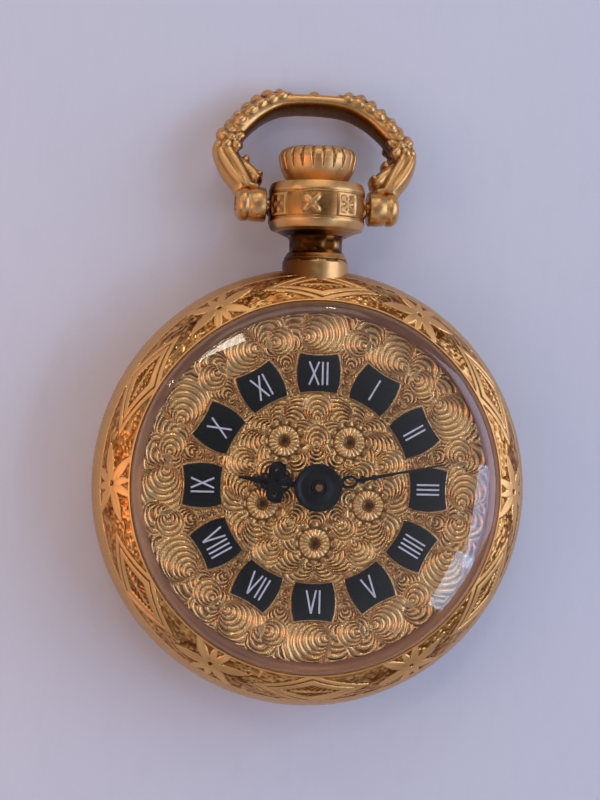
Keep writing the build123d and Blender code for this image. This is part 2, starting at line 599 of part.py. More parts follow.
with BuildPart() as main_plate:
    disc(CENTRE, PLATE_RADIUS, BRIDGE_BOTTOM, DIAL_BOTTOM)
    disc(CENTRE, RIM_INNER_RADIUS, BRIDGE_BOTTOM, PLATE_BOTTOM, Mode.SUBTRACT)
    # Stem block, then the pillars that carry the bridges and clamps.
    block((0, 5.9), 3.4, 4.6, BRIDGE_BOTTOM, PLATE_BOTTOM)
    for spot in BARREL_SCREWS + TRAIN_SCREWS:
        disc(spot, PILLAR_RADIUS, BRIDGE_BOTTOM, PLATE_BOTTOM)
    for way in CLAMP_WAYS:
        disc(step_from(CENTRE, CLAMP_SCREW_DISTANCE, way), 0.5, BRIDGE_BOTTOM, PLATE_BOTTOM)
    disc(BARREL, 3.5, BRIDGE_BOTTOM, PLATE_BOTTOM, Mode.SUBTRACT)
    disc(CENTRE, 3.05, BRIDGE_BOTTOM, 3.0, Mode.SUBTRACT)
    disc(BALANCE, BALANCE_RADIUS + 0.15, BRIDGE_BOTTOM, 3.6, Mode.SUBTRACT)
    # Winding works lie in the stem block.
    along_stem(1.42, 5.95, 6.95, Mode.SUBTRACT)
    along_stem(0.95, 4.0, 5.96, Mode.SUBTRACT)
    along_stem(0.25, 3.0, 4.05, Mode.SUBTRACT)
    along_stem(0.53, 6.9, PLATE_RADIUS + 0.2, Mode.SUBTRACT)
    # Motion work and keyless works lie in a recess under the dial.
    disc(CENTRE, 1.75, MOTION_FLOOR, DIAL_BOTTOM, Mode.SUBTRACT)
    disc(MINUTE, 1.6, MOTION_FLOOR, DIAL_BOTTOM, Mode.SUBTRACT)
    disc(SETTING, 0.95, SETTING_FLOOR, DIAL_BOTTOM, Mode.SUBTRACT)
    block((-1.35, 5.75), 4.7, 3.9, MOTION_FLOOR, DIAL_BOTTOM, mode=Mode.SUBTRACT)
    block((-0.6, 7.8), 1.8, 1.3, MOTION_FLOOR, DIAL_BOTTOM, mode=Mode.SUBTRACT)
    block((-0.2, 7.65), 0.8, 1.35, PLATE_BOTTOM - 0.2, DIAL_BOTTOM, mode=Mode.SUBTRACT)
    disc(MINUTE, STUD_RADIUS, MOTION_FLOOR, MINUTE_STUD_TOP)
    disc(SETTING, STUD_RADIUS, SETTING_FLOOR, SETTING_Z[1])
    disc(YOKE_PIVOT, STUD_RADIUS, MOTION_FLOOR, 5.05)
    disc(LEVER_PIVOT, 0.45, MOTION_FLOOR, LEVER_SEAT)
    disc(LEVER_PIVOT, LEVER_SCREW_RADIUS, LEVER_SCREW_TIP, LEVER_SEAT, Mode.SUBTRACT)
    # Bearings and screw holes.
    disc(CENTRE, ARBOR_HOLE + RUNNING, PLATE_BOTTOM, MOTION_FLOOR, Mode.SUBTRACT)
    disc(BARREL, ARBOR_HOLE + RUNNING, PLATE_BOTTOM, PLATE_BOTTOM + 0.5, Mode.SUBTRACT)
    for spot in TRAIN_PIVOTS + [PALLET, BALANCE]:
        disc(spot, JEWEL_RADIUS, PLATE_BOTTOM, PLATE_BOTTOM + JEWEL_DEPTH, Mode.SUBTRACT)
    for spot in BRIDGE_SCREW_SPOTS:
        disc(spot, SHANK_RADIUS, BRIDGE_BOTTOM, PLATE_BOTTOM + 0.6, Mode.SUBTRACT)
    for way in CLAMP_WAYS:
        spot = step_from(CENTRE, CLAMP_SCREW_DISTANCE, way)
        disc(spot, SHANK_RADIUS, BRIDGE_BOTTOM, PLATE_BOTTOM, Mode.SUBTRACT)
    for spot in PALLET_FEET:
        disc(spot, PALLET_SCREW_RADIUS, PLATE_BOTTOM, PLATE_BOTTOM + 0.6, Mode.SUBTRACT)
    for foot in DIAL_FEET:
        disc(foot, DIAL_FOOT_RADIUS, DIAL_FOOT_TIP, DIAL_BOTTOM, Mode.SUBTRACT)
save(main_plate.part, "main_plate")

# ---------------------------------------------------------------- bridges
BRIDGE_RADIUS = 8.55
BALANCE_CLEARING = 2.9
HEAD_RADIUS = 0.45
HEAD_DEPTH = 0.2
SPLIT_Y = -1.3
SPLIT_GAP = 0.1


def cock_outline():
    """The balance cock in plan, from its foot out over the balance."""
    with BuildSketch() as outline:
        for centre, radius in ((BALANCE, 1.35), (COCK_FOOT, COCK_FOOT_RADIUS)):
            with Locations(centre):
                Circle(radius)
        make_hull()
    return outline.sketch


def cock_clearing():
    """The gap left round the balance cock, open to the plate's edge."""
    with BuildSketch() as outline:
        for centre, radius in ((BALANCE, 1.5), (COCK_FOOT, 1.25), (step_from(CENTRE, 9.0, 165), 1.2)):
            with Locations(centre):
                Circle(radius)
        make_hull()
    return outline.sketch


def bridge_plate(upper):
    """One side of the bridge plate, clear of the balance and its cock."""
    with BuildSketch(Plane.XY.offset(BRIDGE_FACE)) as face:
        Circle(BRIDGE_RADIUS)
        edge = SPLIT_Y + (SPLIT_GAP / 2 if upper else -SPLIT_GAP / 2)
        side = Align.MAX if upper else Align.MIN
        with Locations((0, edge)):
            Rectangle(20, 20, align=(Align.CENTER, side), mode=Mode.SUBTRACT)
        for outward in (0, 1.3):
            with Locations((BALANCE[0] - outward, BALANCE[1])):
                Circle(BALANCE_CLEARING, mode=Mode.SUBTRACT)
        add(cock_clearing(), mode=Mode.SUBTRACT)
        for way in CLAMP_WAYS:
            with Locations(step_from(CENTRE, CLAMP_SCREW_DISTANCE + 0.4, way)):
                Circle(1.05, mode=Mode.SUBTRACT)
    extrude(face.sketch, amount=BRIDGE_BOTTOM - BRIDGE_FACE)


def screw_seat(spot):
    """A counterbored screw hole through a bridge."""
    disc(spot, HEAD_RADIUS + 0.03, BRIDGE_FACE, BRIDGE_FACE + HEAD_DEPTH, Mode.SUBTRACT)
    disc(spot, SHANK_RADIUS, BRIDGE_FACE, BRIDGE_BOTTOM, Mode.SUBTRACT)


RECESS = 0.3
RATCHET_RADIUS = RATCHET_TEETH * WINDING_MODULE / 2
RATCHET_Z = (1.92, 2.17)
CONTRATE_INNER = 1.45
CONTRATE_BOTTOM = 2.48
CROWN_WHEEL_HUB = 0.6
ARBOR_JOURNAL = 0.45
CLICK_PIVOT = step_from(BARREL, 3.9, 12)
CLICK_SCREW_RADIUS = 0.1
CLICK_SCREW_TIP = 2.3
SPRING_FOOT = step_from(BARREL, 3.75, -22)
JEWEL_SEAT = BRIDGE_FACE + 0.3
RECESS_Z = (BRIDGE_FACE, BRIDGE_FACE + RECESS)
with BuildPart() as barrel_bridge:
    bridge_plate(upper=True)
    for spot in BARREL_SCREWS:
        screw_seat(spot)
    disc(BARREL, RATCHET_RADIUS + 0.18, *RECESS_Z, Mode.SUBTRACT)
    disc(CROWN_WHEEL, CROWN_WHEEL_RADIUS + 0.18, *RECESS_Z, Mode.SUBTRACT)
    with BuildSketch(Plane.XY.offset(BRIDGE_FACE + RECESS)):
        with Locations(CROWN_WHEEL):
            Circle(CROWN_WHEEL_RADIUS + 0.08)
            Circle(CONTRATE_INNER - 0.08, mode=Mode.SUBTRACT)
    extrude(amount=CONTRATE_BOTTOM + 0.04 - BRIDGE_FACE - RECESS, mode=Mode.SUBTRACT)
    disc(CROWN_WHEEL, CROWN_WHEEL_HUB, BRIDGE_FACE + 0.05, BRIDGE_FACE + RECESS)
    disc(CROWN_WHEEL, SHANK_RADIUS, BRIDGE_FACE, BRIDGE_BOTTOM, Mode.SUBTRACT)
    block((0, 6.45), 1.9, 1.05, BRIDGE_FACE, BRIDGE_BOTTOM, mode=Mode.SUBTRACT)
    disc(BARREL, ARBOR_JOURNAL + RUNNING, BRIDGE_FACE, BRIDGE_BOTTOM, Mode.SUBTRACT)
    disc(CENTRE, JEWEL_RADIUS, JEWEL_SEAT, BRIDGE_BOTTOM, Mode.SUBTRACT)
    # Click and click spring lie in one recess at the plate's edge.
    click_room = [(CLICK_PIVOT, 0.62), (step_from(BARREL, 3.0, CLICK_WAY), 0.45)]
    hull_plate(click_room, *RECESS_Z, Mode.SUBTRACT)
    hull_plate([(CLICK_PIVOT, 0.5), (SPRING_FOOT, 0.5)], *RECESS_Z, Mode.SUBTRACT)
    disc(CLICK_PIVOT, STUD_RADIUS, *RECESS_Z)
    disc(CLICK_PIVOT, CLICK_SCREW_RADIUS, BRIDGE_FACE, CLICK_SCREW_TIP, Mode.SUBTRACT)
save(barrel_bridge.part, "barrel_bridge")

with BuildPart() as train_bridge:
    bridge_plate(upper=False)
    for spot in TRAIN_SCREWS:
        screw_seat(spot)
    for spot in TRAIN_PIVOTS:
        disc(spot, JEWEL_RADIUS, JEWEL_SEAT, BRIDGE_BOTTOM, Mode.SUBTRACT)
        disc(spot, 0.25, BRIDGE_FACE, BRIDGE_BOTTOM, Mode.SUBTRACT)
save(train_bridge.part, "train_bridge")

with BuildPart() as balance_cock:
    extrude(Plane.XY.offset(COCK_Z[0]).location * cock_outline(), amount=COCK_Z[1] - COCK_Z[0])
    disc(COCK_FOOT, COCK_FOOT_RADIUS, COCK_Z[1], PLATE_BOTTOM)
    disc(BALANCE, JEWEL_RADIUS, COCK_Z[0], COCK_Z[1], Mode.SUBTRACT)
    disc(COCK_FOOT, 0.6, COCK_Z[0], COCK_Z[0] + HEAD_DEPTH, Mode.SUBTRACT)
    disc(COCK_FOOT, SHANK_RADIUS, COCK_Z[0], PLATE_BOTTOM, Mode.SUBTRACT)
    # The stud that holds the hairspring's outer end.
    disc(step_from(BALANCE, 1.25, 180), 0.12, COCK_Z[1], HAIRSPRING_Z[0])
save(balance_cock.part, "balance_cock")

PALLET_FOOT_RADIUS = 0.36
PALLET_JEWEL_RADIUS = 0.2
with BuildPart() as pallet_bridge:
    hull_plate([(spot, PALLET_FOOT_RADIUS) for spot in PALLET_FEET], *PALLET_BRIDGE_Z)
    for spot in PALLET_FEET:
        disc(spot, PALLET_FOOT_RADIUS, PALLET_BRIDGE_Z[1], PLATE_BOTTOM)
        disc(spot, PALLET_SCREW_RADIUS, PALLET_BRIDGE_Z[0], PLATE_BOTTOM, Mode.SUBTRACT)
    disc(PALLET, PALLET_JEWEL_RADIUS, *PALLET_BRIDGE_Z, Mode.SUBTRACT)
save(pallet_bridge.part, "pallet_bridge")

# ---------------------------------------------------------------- jewels and screws
HOLE_RADIUS = PIVOT_RADIUS + 0.02
with BuildPart() as plate_jewels:
    for spot in TRAIN_PIVOTS + [PALLET, BALANCE]:
        disc(spot, JEWEL_RADIUS, PLATE_BOTTOM, PLATE_BOTTOM + JEWEL_DEPTH)
        disc(spot, HOLE_RADIUS, PLATE_BOTTOM, PLATE_BOTTOM + JEWEL_DEPTH, Mode.SUBTRACT)
save(plate_jewels.part, "plate_jewels")

with BuildPart() as bridge_jewels:
    for spot in TRAIN_PIVOTS:
        disc(spot, JEWEL_RADIUS, JEWEL_SEAT, BRIDGE_BOTTOM)
        disc(spot, HOLE_RADIUS, JEWEL_SEAT, BRIDGE_BOTTOM, Mode.SUBTRACT)
    disc(CENTRE, JEWEL_RADIUS, JEWEL_SEAT, BRIDGE_BOTTOM)
    disc(CENTRE, 0.18, JEWEL_SEAT, BRIDGE_BOTTOM, Mode.SUBTRACT)
    disc(BALANCE, JEWEL_RADIUS, *COCK_Z)
    disc(BALANCE, HOLE_RADIUS, *COCK_Z, Mode.SUBTRACT)
    disc(PALLET, PALLET_JEWEL_RADIUS, *PALLET_BRIDGE_Z)
    disc(PALLET, HOLE_RADIUS, *PALLET_BRIDGE_Z, Mode.SUBTRACT)
save(bridge_jewels.part, "bridge_jewels")


def screw(spot, head_radius, head_low, head_high, shank_radius, tip, slot_turn=0.0):
    """A slotted cheese-head screw whose head faces the case back."""
    disc(spot, head_radius, head_low, head_high)
    disc(spot, shank_radius, head_high, tip)
    block(spot, head_radius * 2.2, head_radius * 0.22, head_low, head_low + 0.07, slot_turn, Mode.SUBTRACT)


SCREW_TIP = 3.9
CLAMP_BOTTOM = BRIDGE_BOTTOM - 0.2
with BuildPart() as bridge_screws:
    for number, spot in enumerate(BRIDGE_SCREW_SPOTS):
        screw(spot, HEAD_RADIUS, BRIDGE_FACE, BRIDGE_FACE + HEAD_DEPTH, SHANK_RADIUS, SCREW_TIP, 25 * number)
save(bridge_screws.part, "bridge_screws")

with BuildPart() as pallet_bridge_screws:
    for number, spot in enumerate(PALLET_FEET):
        head = (PALLET_BRIDGE_Z[0] - 0.14, PALLET_BRIDGE_Z[0])
        screw(spot, 0.28, *head, PALLET_SCREW_RADIUS, 4.6, 40 * number)
save(pallet_bridge_screws.part, "pallet_bridge_screws")

with BuildPart() as case_clamps:
    for way in CLAMP_WAYS:
        foot = step_from(CENTRE, CLAMP_SCREW_DISTANCE, way)
        hull_plate([(foot, 0.6), (step_from(CENTRE, 9.3, way), 0.5)], CLAMP_BOTTOM, BRIDGE_BOTTOM)
        disc(foot, SHANK_RADIUS, CLAMP_BOTTOM, BRIDGE_BOTTOM, Mode.SUBTRACT)
save(case_clamps.part, "case_clamps")

with BuildPart() as case_screws:
    for way in CLAMP_WAYS:
        spot = step_from(CENTRE, CLAMP_SCREW_DISTANCE, way)
        screw(spot, 0.5, CLAMP_BOTTOM - 0.22, CLAMP_BOTTOM, SHANK_RADIUS, SCREW_TIP, way)
save(case_screws.part, "case_screws")

with BuildPart() as crown_wheel_screw:
    screw(CROWN_WHEEL, 0.85, BRIDGE_FACE - 0.18, BRIDGE_FACE, SHANK_RADIUS, BRIDGE_BOTTOM, 20)
save(crown_wheel_screw.part, "crown_wheel_screw")

RATCHET_SCREW_RADIUS = 0.2
with BuildPart() as ratchet_screw:
    screw(BARREL, 0.8, BRIDGE_FACE - 0.22, BRIDGE_FACE - FIT, RATCHET_SCREW_RADIUS, BRIDGE_BOTTOM, 65)
save(ratchet_screw.part, "ratchet_screw")

with BuildPart() as click_screw:
    screw(CLICK_PIVOT, 0.4, BRIDGE_FACE - 0.14, BRIDGE_FACE, CLICK_SCREW_RADIUS, CLICK_SCREW_TIP, 80)
save(click_screw.part, "click_screw")

LEVER_HEAD_Z = (5.22, 5.36)
with BuildPart() as setting_lever_screw:
    disc(LEVER_PIVOT, 0.38, *LEVER_HEAD_Z)
    disc(LEVER_PIVOT, LEVER_SCREW_RADIUS, LEVER_SCREW_TIP, LEVER_HEAD_Z[0])
    block(LEVER_PIVOT, 0.85, 0.1, LEVER_HEAD_Z[1] - 0.06, LEVER_HEAD_Z[1], 30, Mode.SUBTRACT)
save(setting_lever_screw.part, "setting_lever_screw")

# ---------------------------------------------------------------- going barrel
ARBOR_HUB_RADIUS = 0.9
DRUM_WALL = 0.2
DRUM_BORE = 0.5
with BuildPart() as barrel_drum:
    disc(BARREL, DRUM_RADIUS, DRUM_Z[0], BARREL_TEETH_Z[0])
    toothed(BARREL, BARREL_TEETH, BARREL_MODULE, BARREL_TEETH_Z, BARREL_WAY + 180)
    disc(BARREL, DRUM_RADIUS - DRUM_WALL, DRUM_Z[0], BARREL_TEETH_Z[0] - 0.05, Mode.SUBTRACT)
    disc(BARREL, DRUM_BORE, *DRUM_Z, Mode.SUBTRACT)
save(barrel_drum.part, "barrel_drum")

COVER_TOP = DRUM_Z[0] + 0.12
with BuildPart() as barrel_cover:
    disc(BARREL, DRUM_RADIUS - DRUM_WALL - 0.01, DRUM_Z[0], COVER_TOP)
    disc(BARREL, DRUM_BORE, DRUM_Z[0], COVER_TOP, Mode.SUBTRACT)
save(barrel_cover.part, "barrel_cover")

ARBOR_SQUARE = 0.6
ARBOR_SHOULDER = 2.2
with BuildPart() as barrel_arbor:
    disc(BARREL, ARBOR_JOURNAL, ARBOR_SHOULDER, DRUM_Z[1] + FIT)
    disc(BARREL, ARBOR_HUB_RADIUS, COVER_TOP + 0.03, BARREL_TEETH_Z[0] - 0.08)
    disc(BARREL, ARBOR_HOLE, DRUM_Z[1], PLATE_BOTTOM + 0.45)
    block(BARREL, ARBOR_SQUARE, ARBOR_SQUARE, BRIDGE_FACE, ARBOR_SHOULDER)
    disc(BARREL, RATCHET_SCREW_RADIUS, BRIDGE_FACE, BRIDGE_BOTTOM, Mode.SUBTRACT)
save(barrel_arbor.part, "barrel_arbor")


def spiral_ribbon(centre, start_radius, pitch, half_turns, thickness, low, high):
    """A coiled strip made of half circles whose centres alternate by half a pitch."""
    inner = []
    for turn in range(half_turns):
        shift = pitch / 2 if turn % 2 else 0.0
        side = -1 if turn % 2 else 1
        inner.append((shift, start_radius + turn * pitch / 2, side))
    with BuildSketch(Plane.XY.offset(low)) as face:
        with BuildLine():
            for shift, radius, side in inner:
                ThreePointArc(
                    (centre[0] + shift + side * radius, centre[1]),
                    (centre[0] + shift, centre[1] + side * radius),
                    (centre[0] + shift - side * radius, centre[1]),
                )
            shift, radius, side = inner[-1]
            Line(
                (centre[0] + shift - side * radius, centre[1]),
                (centre[0] + shift - side * (radius + thickness), centre[1]),
            )
            for shift, radius, side in inner:
                wide = radius + thickness
                ThreePointArc(
                    (centre[0] + shift + side * wide, centre[1]),
                    (centre[0] + shift, centre[1] + side * wide),
                    (centre[0] + shift - side * wide, centre[1]),
                )
            shift, radius, side = inner[0]
            Line(
                (centre[0] + shift + side * (radius + thickness), centre[1]),
                (centre[0] + shift + side * radius, centre[1]),
            )
        make_face()
    extrude(face.sketch, amount=high - low)


with BuildPart() as mainspring:
    spiral_ribbon(BARREL, ARBOR_HUB_RADIUS + 0.06, 0.22, 16, 0.09, COVER_TOP + 0.06, 3.78)
save(mainspring.part, "mainspring")

# Winding wheels. The click rests in a gap of the ratchet, and each wheel's phase follows from it.
RATCHET_PHASE = CLICK_WAY + 180 / RATCHET_TEETH


def mesh_phase(way, phase, teeth, other_teeth):
    """The phase of a wheel lying in direction way from a wheel whose phase is known."""
    return way + 180 - (phase - way) * teeth / other_teeth + 180 / other_teeth


CROWN_WHEEL_WAY = degrees(atan2(CROWN_WHEEL[1] - BARREL[1], CROWN_WHEEL[0] - BARREL[0]))
CROWN_WHEEL_PHASE = mesh_phase(CROWN_WHEEL_WAY, RATCHET_PHASE, RATCHET_TEETH, CROWN_WHEEL_TEETH)
with BuildPart() as ratchet_wheel:
    toothed(BARREL, RATCHET_TEETH, WINDING_MODULE, RATCHET_Z, RATCHET_PHASE)
    block(BARREL, ARBOR_SQUARE + FIT, ARBOR_SQUARE + FIT, *RATCHET_Z, mode=Mode.SUBTRACT)
save(ratchet_wheel.part, "ratchet_wheel")

CONTRATE_OUTER = CROWN_WHEEL_RADIUS + 0.02
with BuildPart() as crown_wheel:
    toothed(CROWN_WHEEL, CROWN_WHEEL_TEETH, WINDING_MODULE, RATCHET_Z, CROWN_WHEEL_PHASE)
    # Face teeth under the wheel, which the winding pinion turns.
    with BuildSketch(Plane.XY.offset(RATCHET_Z[1])) as face_teeth:
        for tooth in range(CROWN_WHEEL_TEETH):
            way = CROWN_WHEEL_PHASE + tooth * 360 / CROWN_WHEEL_TEETH
            middle = (CONTRATE_INNER + CONTRATE_OUTER) / 2
            with Locations(Location((*step_from(CROWN_WHEEL, middle, way), 0), (0, 0, way))):
                Rectangle(CONTRATE_OUTER - CONTRATE_INNER, 0.1)
    extrude(face_teeth.sketch, amount=CONTRATE_BOTTOM - RATCHET_Z[1])
    disc(CROWN_WHEEL, CROWN_WHEEL_HUB + RUNNING, *RATCHET_Z, Mode.SUBTRACT)
save(crown_wheel.part, "crown_wheel")

CLICK_ELBOW = step_from(CLICK_PIVOT, 1.0, 125)
CLICK_TIP = step_from(BARREL, RATCHET_RADIUS - 0.02, CLICK_WAY)
with BuildPart() as click:
    hull_plate([(CLICK_PIVOT, 0.45), (CLICK_ELBOW, 0.14)], *RATCHET_Z)
    hull_plate([(CLICK_ELBOW, 0.14), (CLICK_TIP, 0.03)], *RATCHET_Z)
    disc(CLICK_PIVOT, STUD_RADIUS + RUNNING, *RATCHET_Z, Mode.SUBTRACT)
save(click.part, "click")

SPRING_TIP = step_from(CLICK_PIVOT, 0.62, -20)
with BuildPart() as click_spring:
    disc(SPRING_FOOT, 0.38, *RATCHET_Z)
    hull_plate([(SPRING_FOOT, 0.06), (SPRING_TIP, 0.04)], 1.95, 2.1)
save(click_spring.part, "click_spring")

# ---------------------------------------------------------------- train wheels
ARBOR_RADIUS = 0.12


def arbor(centre, low, high, radius=ARBOR_RADIUS, top_pivot=BRIDGE_FACE + 0.35, foot=PLATE_BOTTOM + 0.35):
    """An arbor with a thin pivot at each end."""
    disc(centre, radius, low, high)
    disc(centre, PIVOT_RADIUS, top_pivot, low)
    disc(centre, PIVOT_RADIUS, high, foot)


ARBOR_SPAN = (BRIDGE_BOTTOM + 0.03, PLATE_BOTTOM - 0.03)
with BuildPart() as centre_wheel:
    toothed(CENTRE, CENTRE_TEETH, CENTRE_MODULE, CENTRE_WHEEL_Z, THIRD_WAY)
    spokes(CENTRE, 5, 2.35, 0.7, CENTRE_WHEEL_Z, 0.35)
    disc(CENTRE, 0.28, CENTRE_WHEEL_Z[0], PLATE_BOTTOM - 0.03)
    toothed(CENTRE, CENTRE_PINION, BARREL_MODULE, (3.82, 4.05), gap_phase(BARREL_WAY + 180, CENTRE_PINION))
    disc(CENTRE, 0.15, BRIDGE_FACE + 0.32, CENTRE_WHEEL_Z[0])
    disc(CENTRE, ARBOR_HOLE - 0.02, PLATE_BOTTOM - 0.03, MOTION_FLOOR)
    disc(CENTRE, ARBOR_TOP_RADIUS, MOTION_FLOOR, 6.95)
save(centre_wheel.part, "centre_wheel")

with BuildPart() as third_wheel:
    toothed(THIRD, THIRD_TEETH, THIRD_MODULE, THIRD_WHEEL_Z, FOURTH_WAY)
    spokes(THIRD, 4, 1.95, 0.5, THIRD_WHEEL_Z, 0.28, 20)
    toothed(THIRD, THIRD_PINION, CENTRE_MODULE, (2.64, 2.92), gap_phase(THIRD_WAY, THIRD_PINION))
    arbor(THIRD, *ARBOR_SPAN)
save(third_wheel.part, "third_wheel")

with BuildPart() as fourth_wheel:
    toothed(FOURTH, FOURTH_TEETH, FOURTH_MODULE, FOURTH_WHEEL_Z, ESCAPE_WAY)
    spokes(FOURTH, 4, 2.0, 0.5, FOURTH_WHEEL_Z, 0.25, 45)
    toothed(FOURTH, FOURTH_PINION, THIRD_MODULE, (3.5, 3.88), gap_phase(FOURTH_WAY, FOURTH_PINION))
    arbor(FOURTH, *ARBOR_SPAN)
save(fourth_wheel.part, "fourth_wheel")

ESCAPE_ROOT = 0.86
with BuildPart() as escape_wheel:
    with BuildSketch(Plane.XY.offset(ESCAPE_WHEEL_Z[0])) as club:
        with BuildLine():
            corners = []
            for tooth in range(ESCAPE_TEETH):
                way = 12 + tooth * 360 / ESCAPE_TEETH
                corners.append(step_from(ESCAPE, ESCAPE_ROOT, way - 7))
                corners.append(step_from(ESCAPE, ESCAPE_RADIUS - 0.04, way - 1))
                corners.append(step_from(ESCAPE, ESCAPE_RADIUS, way + 4))
                corners.append(step_from(ESCAPE, ESCAPE_ROOT, way + 2))
            Polyline(*corners, close=True)
        make_face()
    extrude(amount=ESCAPE_WHEEL_Z[1] - ESCAPE_WHEEL_Z[0])
    spokes(ESCAPE, 4, 0.72, 0.28, ESCAPE_WHEEL_Z, 0.14)
    toothed(ESCAPE, ESCAPE_PINION, FOURTH_MODULE, (2.98, 3.28), gap_phase(ESCAPE_WAY, ESCAPE_PINION))
    arbor(ESCAPE, *ARBOR_SPAN, radius=0.1)
save(escape_wheel.part, "escape_wheel")

# ---------------------------------------------------------------- lever and balance
STONE_WAYS = (LEVER_WAY - 30, LEVER_WAY + 30)
FORK_Z = (3.60, 3.72)
with BuildPart() as pallet_fork:
    for way in STONE_WAYS:
        hull_plate([(PALLET, 0.1), (step_from(ESCAPE, 1.47, way), 0.09)], *FORK_Z)
    hull_plate([(PALLET, 0.12), (step_from(PALLET, 1.35, LEVER_WAY), 0.08)], *FORK_Z)
    for aside in (-1, 1):
        root = step_from(PALLET, 1.3, LEVER_WAY)
        horn = step_from(step_from(PALLET, 1.66, LEVER_WAY), 0.2 * aside, LEVER_WAY + 90)
        hull_plate([(root, 0.07), (horn, 0.06)], *FORK_Z)
    arbor(PALLET, 3.45, PLATE_BOTTOM - 0.03, radius=0.1, top_pivot=PALLET_BRIDGE_Z[0] + 0.02)
save(pallet_fork.part, "pallet_fork")

with BuildPart() as pallet_stones:
    for way in STONE_WAYS:
        with BuildSketch(Plane.XY.offset(FORK_Z[1])) as stone:
            with Locations(Location((*step_from(ESCAPE, 1.42, way), 0), (0, 0, way))):
                Rectangle(0.26, 0.14)
        extrude(stone.sketch, amount=0.1)
save(pallet_stones.part, "pallet_stones")

with BuildPart() as balance_wheel:
    disc(BALANCE, BALANCE_RADIUS, *BALANCE_RIM_Z)
    spokes(BALANCE, 2, 2.25, 0.45, BALANCE_RIM_Z, 0.35, 30)
    disc(BALANCE, 0.15, *BALANCE_RIM_Z, Mode.SUBTRACT)
save(balance_wheel.part, "balance_wheel")

ROLLER_Z = (3.30, 3.44)
with BuildPart() as balance_staff:
    arbor(BALANCE, 2.43, PLATE_BOTTOM - 0.03, radius=0.15, top_pivot=COCK_Z[0] + 0.05)
    disc(BALANCE, 0.3, BALANCE_RIM_Z[1], BALANCE_RIM_Z[1] + 0.12)
    disc(BALANCE, 0.3, 2.44, 2.6)
    disc(BALANCE, 0.6, *ROLLER_Z)
    disc(step_from(BALANCE, 0.42, LEVER_WAY + 180), 0.07, ROLLER_Z[1], 3.74)
save(balance_staff.part, "balance_staff")

with BuildPart() as hairspring:
    spiral_ribbon(BALANCE, 0.33, 0.12, 16, 0.03, *HAIRSPRING_Z)
save(hairspring.part, "hairspring")

REGULATOR_Z = (1.78, 1.88)
CURB_WAY = -45
CURB_DISTANCE = 1.56
with BuildPart() as regulator:
    with BuildSketch(Plane.XY.offset(REGULATOR_Z[0])):
        with Locations(BALANCE):
            Circle(0.7)
        for way, reach, tip in ((CURB_WAY, CURB_DISTANCE, 0.14), (75, 2.4, 0.07)):
            with BuildSketch(mode=Mode.PRIVATE) as arm:
                for spot, radius in ((BALANCE, 0.35), (step_from(BALANCE, reach, way), tip)):
                    with Locations(spot):
                        Circle(radius)
                make_hull()
            add(arm.sketch)
        with Locations(BALANCE):
            Circle(0.42, mode=Mode.SUBTRACT)
    extrude(amount=REGULATOR_Z[1] - REGULATOR_Z[0])
    # Two curb pins reach down to either side of the hairspring's outer coil.
    for aside in (-3.5, 3.5):
        disc(step_from(BALANCE, CURB_DISTANCE, CURB_WAY + aside), 0.035, REGULATOR_Z[1], 2.5)
save(regulator.part, "regulator")

# ---------------------------------------------------------------- winding and setting works
STEM_SQUARE = 0.48
STEM_ROUND = 0.35
WINDING_START = 6.0
WINDING_END = 6.9
SLIDING_START = 4.85
SLIDING_END = 5.9
SLIDING_RADIUS = 0.85
DOG_COUNT = 6
BREGUET_TEETH = 16
SQUARE_START = 4.1
SQUARE_END = 5.95
SHOULDER_RADIUS = 0.5
LEVER_GROOVE = (7.2, 7.5)
with BuildPart() as winding_stem:
    along_stem(0.22, 3.2, SQUARE_START)
    with Locations(Location((0, SQUARE_START, STEM_HEIGHT), (-90, 0, 0))):
        Box(STEM_SQUARE, STEM_SQUARE, SQUARE_END - SQUARE_START, align=BASE)
    along_stem(STEM_ROUND, SQUARE_END, 7.0)
    along_stem(SHOULDER_RADIUS, 7.0, LEVER_GROOVE[0])
    along_stem(0.3, *LEVER_GROOVE)
    along_stem(SHOULDER_RADIUS, LEVER_GROOVE[1], 8.7)
    along_stem(STEM_ROUND, 8.7, 20.2)
save(winding_stem.part, "winding_stem")

# The pinion's plane looks along the stem with the case back upward, so local Y is down.
CROWN_WHEEL_OFFSET = (CROWN_WHEEL_PHASE - 90) % (360 / CROWN_WHEEL_TEETH)
WINDING_PHASE = 90 + CROWN_WHEEL_OFFSET * CROWN_WHEEL_TEETH / WINDING_TEETH - 180 / WINDING_TEETH
with BuildPart() as winding_pinion:
    with BuildSketch(Plane(origin=(0, WINDING_START, STEM_HEIGHT), x_dir=(1, 0, 0), z_dir=(0, 1, 0))):
        Polygon(*tooth_points(WINDING_TEETH, WINDING_MODULE, WINDING_PHASE), align=None)
        Circle(STEM_ROUND + RUNNING, mode=Mode.SUBTRACT)
    extrude(amount=WINDING_END - WINDING_START)
    with Locations(Location((0, WINDING_START - 0.1, STEM_HEIGHT), (-90, 0, 0))):
        with PolarLocations(0.68, DOG_COUNT):
            Box(0.5, 0.26, 0.3, align=BASE, mode=Mode.SUBTRACT)
save(winding_pinion.part, "winding_pinion")

